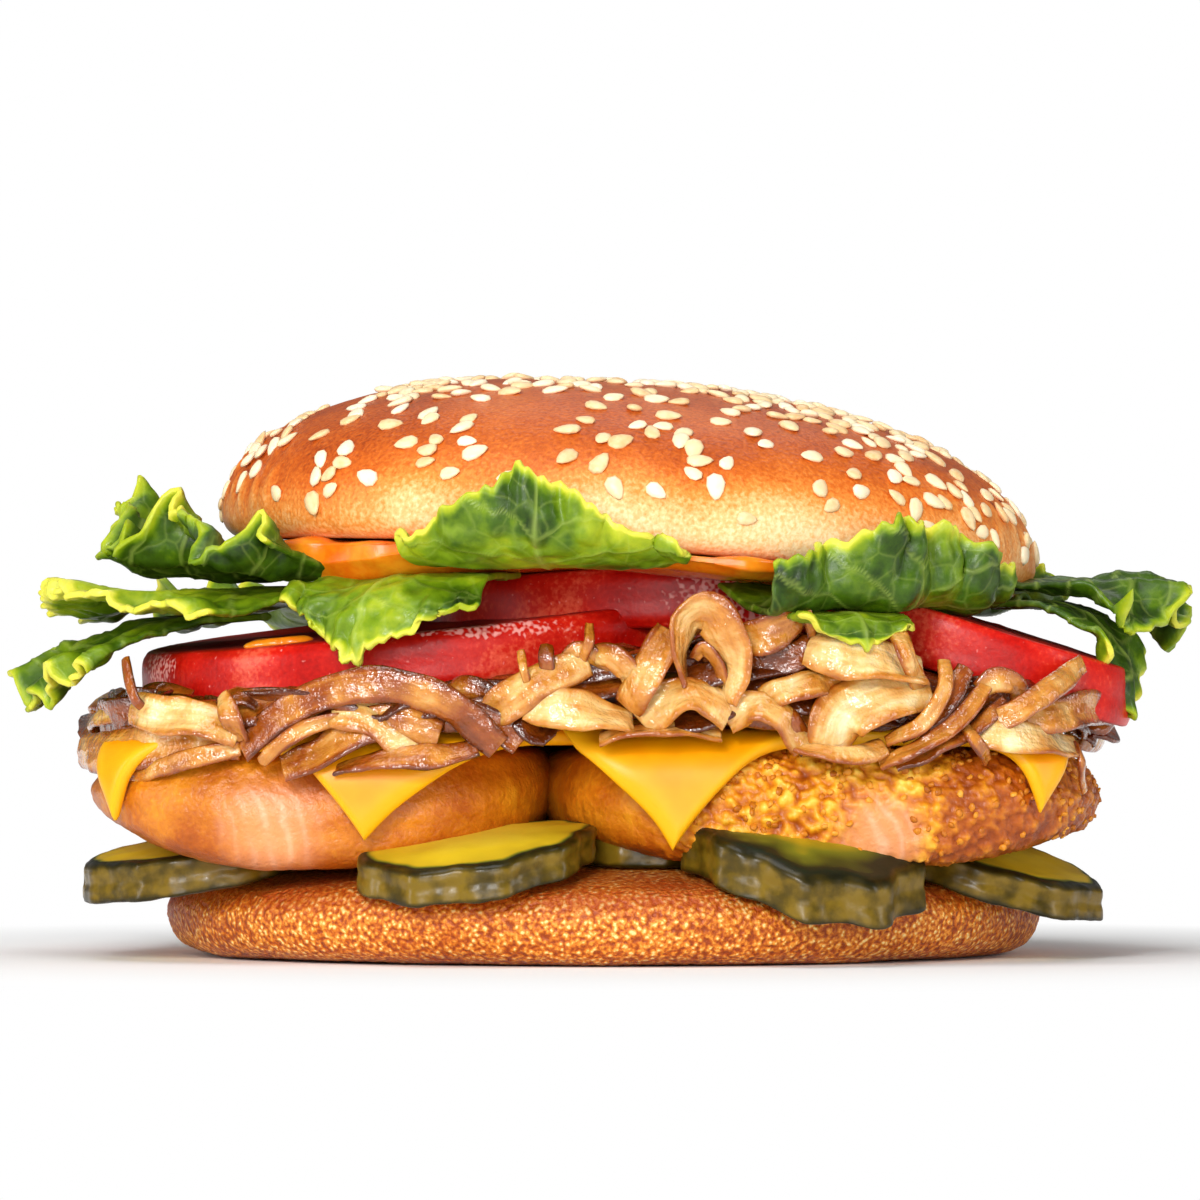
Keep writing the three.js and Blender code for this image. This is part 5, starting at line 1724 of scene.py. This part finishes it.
# ---------------------------------------------------------------- top bun and sauce
@dataclass
class Crown:
    """The top bun: a glazed dome, strewn with sesame.

    low is its underside's height at x, tilt and sag how that slopes and droops, belly how high its rounded
    lower edge is, rise how high the dome over it is, and power how full the dome is.
    """

    x: float = 4.3
    low: float = 58.0
    belly: float = 3.4
    rise: float = 20.9
    tilt: float = 0.055
    sag: float = 1.5
    power: float = 2.3
    outline: Outline = Outline(58.5, 57, 2.1, 0.006, 1.7)

    def floor(self, x: Array) -> Array:
        """The height of its cut underside."""
        return self.low - self.tilt * (x - self.x) - self.sag * ((x + 5) / 50) ** 2

    def rows(self) -> Array:
        """Rows of [share of the radius, level] over the underside, the rounded lower edge and the dome."""
        height = self.belly + self.rise
        under = np.column_stack([np.linspace(0, 0.94, 16, endpoint=False), np.zeros(16)])
        turn = np.linspace(0, np.pi / 2, 14, endpoint=False)
        edge = np.column_stack([0.94 + 0.06 * np.sin(turn), self.belly * (1 - np.cos(turn)) / height])
        turn = np.linspace(0, np.pi / 2, 150)
        out, up = np.cos(turn) ** (2 / self.power), np.sin(turn) ** (2 / self.power)
        out[-1] = 0
        return np.vstack([under, edge, np.column_stack([out, (self.belly + self.rise * up) / height])])

    def build(self) -> None:
        """Makes the crust and its seeds."""
        grain = Grain(71)
        height = self.belly + self.rise
        dome = Turned(
            (self.x, 0.0), self.outline.radius, self.rows(), 420,
            lambda x, y, level: self.floor(x) + level * height,
        )
        x, y, z = (dome.grid[..., k] for k in range(3))
        outside = smooth(0.0, 0.1, dome.level)
        left_end, right_end = smooth(-38, -53, x), smooth(50, 61, x)
        folds = grain.at(place(x / 1.1, y / 1.5, z / 6), 1.0) + 0.5 * grain.at(place(x, y, z / 4), 0.8)
        relief = 0.4 * grain.at(dome.grid, 17) + 0.12 * grain.layered(dome.grid, 4, 3)
        wrinkled = (left_end + 0.6 * right_end) * smooth(0.05, 0.3, dome.level)
        relief = relief + 0.5 * folds * wrinkled
        dome.swell(relief * outside)
        dips = 0.16 * grain.layered(dome.grid, 13, 3)
        bake = mix(0.3, 0.74, smooth(0.16, 0.74, dome.level)) + dips
        bake = bake + 0.26 * smooth(-14, -46, x) * smooth(0.12, 0.4, dome.level) * (1 - dome.level)
        bake = bake - 0.22 * np.exp(-(((x - 14) / 32) ** 2)) * smooth(0.56, 0.16, dome.level)
        # painted shade in the fold valleys and painted highlight on the fold crests at the bun's ends
        bake = bake - 0.3 * folds * wrinkled
        bake = np.where(dome.level < 0.02, 0.12, np.clip(bake, 0.02, 0.95))
        crowded = 0.4 + 0.3 * smooth(0.6, 0.98, dome.level) + 0.25 * smooth(20, 55, x)
        crowded = (crowded + 0.1 * smooth(0, -40, x)) * (1 + 1.1 * grain.at(dome.grid, 12))
        crowded = crowded * smooth(0.12, 0.28, dome.level)
        skin = dome.skin(bake=bake, sown=np.clip(crowded, 0, 1))
        crust = serve(skin, "crown_crust", GLAZED_CRUST, Slot.TOP_BUN, "crown")
        seeds = Strewn(
            "sesame_seeds", 4.0, 2.6, 1.1, 2.3, 13, 0.28, taper=0.36, tilt=0.2, segments=9, rings=6, seed=4
        )
        seeds.over(crust, SESAME_SEED, Slot.TOP_BUN)


@dataclass
class Sauce:
    """The sauce spread under the top bun, pressed out in dollops left of the front and a little right of it.

    pressed is [angle, width, how far] of each, in radians and millimetres.
    """

    crown: Crown
    tomatoes: Tomatoes
    thickness: float = 1.5
    pressed: tuple[tuple[float, float, float], ...] = ((3.84, 0.2, 2.6), (4.2, 0.14, 1.4), (4.95, 0.22, 1.8))

    @staticmethod
    def blob(x: Array, y: Array, centre: tuple[float, float], width: float) -> Array:
        """A round dollop's height at each point, 1 in its middle."""
        return np.exp(-(((x - centre[0]) ** 2 + (y - centre[1]) ** 2) / width**2))

    def build(self) -> None:
        """Makes the spread, and the streak that dripped on the left tomato slice."""
        grain = Grain(73)

        def outline(angle: Array) -> Array:
            """A round edge, with the sauce that is pressed out past it."""
            squeezed = sum(out * np.exp(-(((angle - at) / wide) ** 2)) for at, wide, out in self.pressed)
            return 54.2 + 1.3 * np.sin(5 * angle + 0.4) + 1.1 * np.sin(9 * angle + 1) + squeezed

        def height(x: Array, y: Array, level: Array) -> Array:
            """From its underside, with the dollops, to the top bun."""
            top = self.crown.floor(x) - GAP + 0.6 * smooth(54.5, 57.5, np.hypot(x - self.crown.x, y))
            dollops = 4.2 * self.blob(x, y, (-39, -38), 15) + 1.7 * self.blob(x, y, (18, -52), 14)
            dollops = dollops + 2.4 * self.blob(x, y, (-10, -12), 17)
            slack = 1.9 * smooth(10, 30, np.abs(x - 8)) * smooth(-20, -40, y)
            hollow = 0.9 * smooth(52, 40, np.hypot(x, y))
            return mix(top - self.thickness - dollops - slack - hollow, top, level)

        rows = profile((0, 0, 10), (0.84, 0, 16), (1, 0.4, 14), (0.94, 1, 8), (0, 1, 1))
        spread = Turned((self.crown.x - 1, -1.0), outline, rows, 420, height)
        spread.swell(0.9 * grain.layered(spread.grid, 7, 2) * smooth(0.75, 0.9, spread.share))
        serve(spread.skin(), "sauce_spread", SPICED_SAUCE, Slot.SAUCE, "sauce")

        def drip(x: Array, y: Array, level: Array) -> Array:
            """The streak's height on the left tomato slice."""
            return self.tomatoes.slices[0].height(x, y, 1.0) + mix(-0.3, 0.9, level)

        rows = profile((0, 0, 4), (0.8, 0, 6), (1, 0.4, 6), (0.7, 0.95, 6), (0, 1, 1))
        streak = Turned((-45, -37.5), Outline(4.6, 1.4, 2.2, 0.14, 2).radius, rows, 90, drip)
        streak.swell(0.35 * grain.layered(streak.grid, 3, 2))
        serve(streak.skin(), "sauce_streak", SPICED_SAUCE, Slot.SAUCE, "sauce")


# ---------------------------------------------------------------- studio
@dataclass(frozen=True)
class Softbox:
    """A soft light: its place in metres, its size and its power in watts. It looks at the burger."""

    name: str
    place: tuple[float, float, float]
    size: tuple[float, float]
    watts: float

    def build(self) -> None:
        """Hangs the light."""
        lamp = bpy.data.lights.new(self.name, "AREA")
        lamp.shape = "RECTANGLE"
        lamp.size, lamp.size_y = self.size
        lamp.energy = self.watts
        light = stand(self.name, lamp)
        light.location = self.place
        light.rotation_euler = (Vector((0, 0, 0.04)) - Vector(self.place)).to_track_quat("-Z", "Y").to_euler()


@dataclass
class Studio:
    """A plain white floor, soft light from all round and a small lamp for the glints, and the camera.

    focal_pixels is the camera's focal length in pixels of the photograph.
    """

    eye: tuple[float, float, float] = (0.0, -1.5, 0.0509)
    focal_pixels: float = 10380.0
    lights: tuple[Softbox, ...] = (
        Softbox("overhead_softbox", (-0.1, -0.25, 0.75), (0.5, 0.4), 2.4),
        Softbox("front_softbox", (-0.25, -1.0, 0.36), (0.5, 0.3), 6.8),
        Softbox("glint_lamp", (-0.2, -0.9, 0.4), (0.05, 0.05), 1.6),
        Softbox("low_fill", (0.1, -1.0, 0.08), (0.9, 0.12), 2.6),
        Softbox("left_strip", (-0.6, -0.2, 0.16), (0.1, 0.4), 1.2),
        Softbox("right_strip", (0.6, -0.2, 0.16), (0.1, 0.4), 1.0),
        Softbox("rear_softbox", (0.1, 0.7, 0.8), (0.5, 0.3), 1.0),
    )

    def build(self) -> None:
        """Makes the floor, the lights, the surroundings and the camera."""
        for light in self.lights:
            light.build()
        self.floor()
        self.surroundings()
        self.camera()

    def floor(self) -> None:
        """A round sheet of matt white paper, lit until it is pure white a little way from the burger."""
        turns = np.linspace(0, TURN, 96, endpoint=False)
        rim = place(3 * np.cos(turns), 3 * np.sin(turns), -0.0002)
        mesh = bpy.data.meshes.new("paper_floor")
        mesh.from_pydata(rim.tolist(), [], [list(range(96))])
        material = bpy.data.materials.new("matt_white_paper")
        tree = emptied(material)
        away = add(tree, "ShaderNodeVectorMath", {0: where(tree)}, operation="LENGTH").outputs["Value"]
        paper = add(tree, "ShaderNodeBsdfDiffuse", {"Color": colour("f4f4f4")}).outputs[0]
        glow = add(tree, "ShaderNodeEmission", {"Color": WHITE, "Strength": 1.0}).outputs[0]
        lit = {0: ranged(tree, away, 0.085, 0.16), 1: paper, 2: glow}
        surface = add(tree, "ShaderNodeMixShader", lit).outputs[0]
        add(tree, "ShaderNodeOutputMaterial", {"Surface": surface})
        mesh.materials.append(material)
        sheet = stand("paper_floor", mesh)

    def surroundings(self) -> None:
        """A white room that is pure white to the eye and dimmer as a light."""
        world = bpy.data.worlds.new("white_room")
        bpy.context.scene.world = world
        tree = emptied(world)
        seen = add(tree, "ShaderNodeLightPath").outputs["Is Camera Ray"]
        strength = ranged(tree, seen, 0, 1, 0.18, 1)
        room = add(tree, "ShaderNodeBackground", {"Color": WHITE, "Strength": strength})
        add(tree, "ShaderNodeOutputWorld", {"Surface": room.outputs[0]})
        bpy.context.scene.view_settings.view_transform = "Standard"

    def camera(self) -> None:
        """The photograph's camera, level and a burger's half height above the floor."""
        lens = bpy.data.cameras.new("photo_camera")
        lens.sensor_width = 36.0
        lens.lens = lens.sensor_width * self.focal_pixels / PICTURE
        lens.clip_start, lens.clip_end = 0.01, 20.0
        eye = stand("photo_camera", lens)
        eye.location = self.eye
        eye.rotation_euler = (np.pi / 2, 0, 0)
        bpy.context.scene.camera = eye


def main() -> None:
    """Builds the burger from the bottom up, then the studio."""
    logging.basicConfig(level=logging.INFO, format="%(name)s: %(message)s")
    heel = Heel()
    cheese = Cheese()
    tomatoes = Tomatoes()
    crown = Crown()
    for layer in (heel, Pickles(heel), Salmon(), cheese, tomatoes, Onions(tomatoes, cheese), Lettuce()):
        layer.build()
    Sauce(crown, tomatoes).build()
    crown.build()
    Studio().build()


if __name__ == "__main__":
    main()
